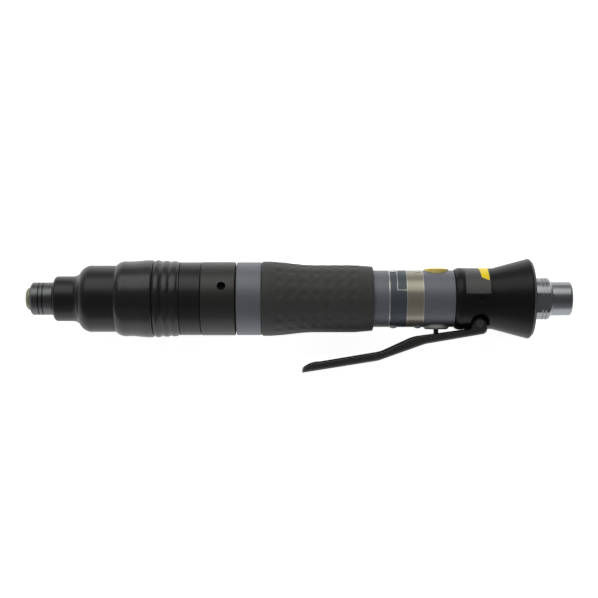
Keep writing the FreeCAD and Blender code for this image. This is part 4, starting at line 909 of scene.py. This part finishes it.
class SCREWDRIVER_OT_stage(bpy.types.Operator):
    """Sets the floor, the lights and the camera"""

    bl_idname = "screwdriver.stage"
    bl_label = "Stage"

    def execute(self, context):
        stage = settings(context)[2]
        scene = context.scene
        low, high = CAD_BOX
        middle = (low + high) / 2
        self.floor(low.z, middle, stage)
        away = (TOOL.to_3x3() @ Vector((0, 1, 0))).normalized()
        side = (TOOL.to_3x3() @ Vector((0, 0, 1))).normalized()
        aim = Vector((stage.aim_x, 0, 0)) + away * stage.aim_up
        over = side * stage.light_height + Vector((stage.light_shift, 0, 0))
        spread = away * stage.light_spread
        size = (stage.light_long, stage.light_short)
        self.softbox("far_softbox", aim, over + spread, size, stage.far_light,
                     (0.98, 1.0, 0.95))
        self.softbox("near_softbox", aim, over - spread, size, stage.near_light,
                     (0.93, 0.92, 1.0))
        scene.world = self.studio((side - away * stage.dark_tilt).normalized(), stage)
        camera = bpy.data.objects.new("camera", bpy.data.cameras.new("camera"))
        camera.data.lens = stage.lens
        camera.data.sensor_width = 36.0
        camera.data.clip_start = 0.05
        axes = Matrix((Vector((1, 0, 0)), away, side)).transposed().to_4x4()
        camera.matrix_world = Matrix.Translation(aim + side * stage.camera_distance) @ axes
        scene.collection.objects.link(camera)
        scene.camera = camera
        scene.view_settings.view_transform = "Standard"
        return {"FINISHED"}

    def studio(self, centre, stage):
        """A world that is pale low round the tool and darker about a centre direction."""
        world = bpy.data.worlds.new("studio")
        world.use_nodes = True
        tree = world.node_tree
        coordinates = tree.nodes.new("ShaderNodeTexCoord")
        towards = tree.nodes.new("ShaderNodeVectorMath")
        towards.operation = "DOT_PRODUCT"
        towards.inputs[1].default_value = centre
        tree.links.new(coordinates.outputs["Generated"], towards.inputs[0])
        level = tree.nodes.new("ShaderNodeMapRange")
        for socket, value in zip(("From Min", "From Max", "To Min", "To Max"),
                                 (0.0, stage.dark_start, stage.wall_glow, stage.dark_glow)):
            level.inputs[socket].default_value = value
        tree.links.new(towards.outputs["Value"], level.inputs["Value"])
        background = tree.nodes["Background"]
        background.inputs["Color"].default_value = (1.0, 1.0, 1.0, 1.0)
        tree.links.new(level.outputs["Result"], background.inputs["Strength"])
        return world

    def floor(self, height, middle, stage):
        """A plain pale floor that also glows a little, like a light table."""
        mesh = bpy.data.meshes.new("floor")
        reach = stage.floor_reach
        corners = [(middle.x + sx * reach, middle.y + sy * reach, height)
                   for sx, sy in ((-1, -1), (1, -1), (1, 1), (-1, 1))]
        mesh.from_pydata(corners, [], [(0, 1, 2, 3)])
        floor = bpy.data.objects.new("floor", mesh)
        bpy.context.scene.collection.objects.link(floor)
        white = Finish("floor_white", (0.9, 0.9, 0.9), 0.9,
                       Emission_Color=(1.0, 1.0, 1.0, 1.0), Emission_Strength=stage.floor_glow)
        mesh.materials.append(white.material)

    def softbox(self, name, aim, direction, size, power, colour):
        """An area light that faces the tool from a direction."""
        light = bpy.data.lights.new(name, "AREA")
        light.shape = "RECTANGLE"
        light.size, light.size_y = size
        light.energy = power
        light.color = colour
        lamp = bpy.data.objects.new(name, light)
        lamp.location = aim + direction
        lamp.rotation_euler = self.facing(direction).to_euler()
        bpy.context.scene.collection.objects.link(lamp)

    def facing(self, direction):
        """Turns a lamp to the tool with its long side kept along the tool."""
        back = direction.normalized()
        along = (Vector((1, 0, 0)) - back * back.x).normalized()
        return Matrix((along, back.cross(along), back)).transposed()


class SCREWDRIVER_PT_panel(bpy.types.Panel):
    """Lists the screwdriver's settings and steps"""

    bl_label = "Screwdriver"
    bl_idname = "SCREWDRIVER_PT_panel"
    bl_space_type = "VIEW_3D"
    bl_region_type = "UI"
    bl_category = "Screwdriver"

    def draw(self, context):
        for group in settings(context):
            box = self.layout.box()
            for key in group.__annotations__:
                box.prop(group, key)
        for operator in OPERATORS:
            self.layout.operator(operator.bl_idname)


GROUPS = (("screwdriver_sizes", ScrewdriverSizes), ("screwdriver_look", ScrewdriverLook),
          ("screwdriver_stage", ScrewdriverStage))
OPERATORS = (SCREWDRIVER_OT_housings, SCREWDRIVER_OT_grip, SCREWDRIVER_OT_plate,
             SCREWDRIVER_OT_label, SCREWDRIVER_OT_bit_holder, SCREWDRIVER_OT_inlet,
             SCREWDRIVER_OT_valve, SCREWDRIVER_OT_lever, SCREWDRIVER_OT_works,
             SCREWDRIVER_OT_stage)


def register():
    for key, group in GROUPS:
        bpy.utils.register_class(group)
        setattr(bpy.types.Scene, key, bpy.props.PointerProperty(type=group))
    for operator in OPERATORS:
        bpy.utils.register_class(operator)
    bpy.utils.register_class(SCREWDRIVER_PT_panel)


def unregister():
    bpy.utils.unregister_class(SCREWDRIVER_PT_panel)
    for operator in reversed(OPERATORS):
        bpy.utils.unregister_class(operator)
    for key, group in reversed(GROUPS):
        delattr(bpy.types.Scene, key)
        bpy.utils.unregister_class(group)


def main():
    register()
    bpy.ops.screwdriver.housings()
    bpy.ops.screwdriver.grip()
    bpy.ops.screwdriver.plate()
    bpy.ops.screwdriver.label()
    bpy.ops.screwdriver.bit_holder()
    bpy.ops.screwdriver.inlet()
    bpy.ops.screwdriver.valve()
    bpy.ops.screwdriver.lever()
    bpy.ops.screwdriver.works()
    bpy.ops.screwdriver.stage()


if __name__ == "__main__":
    main()
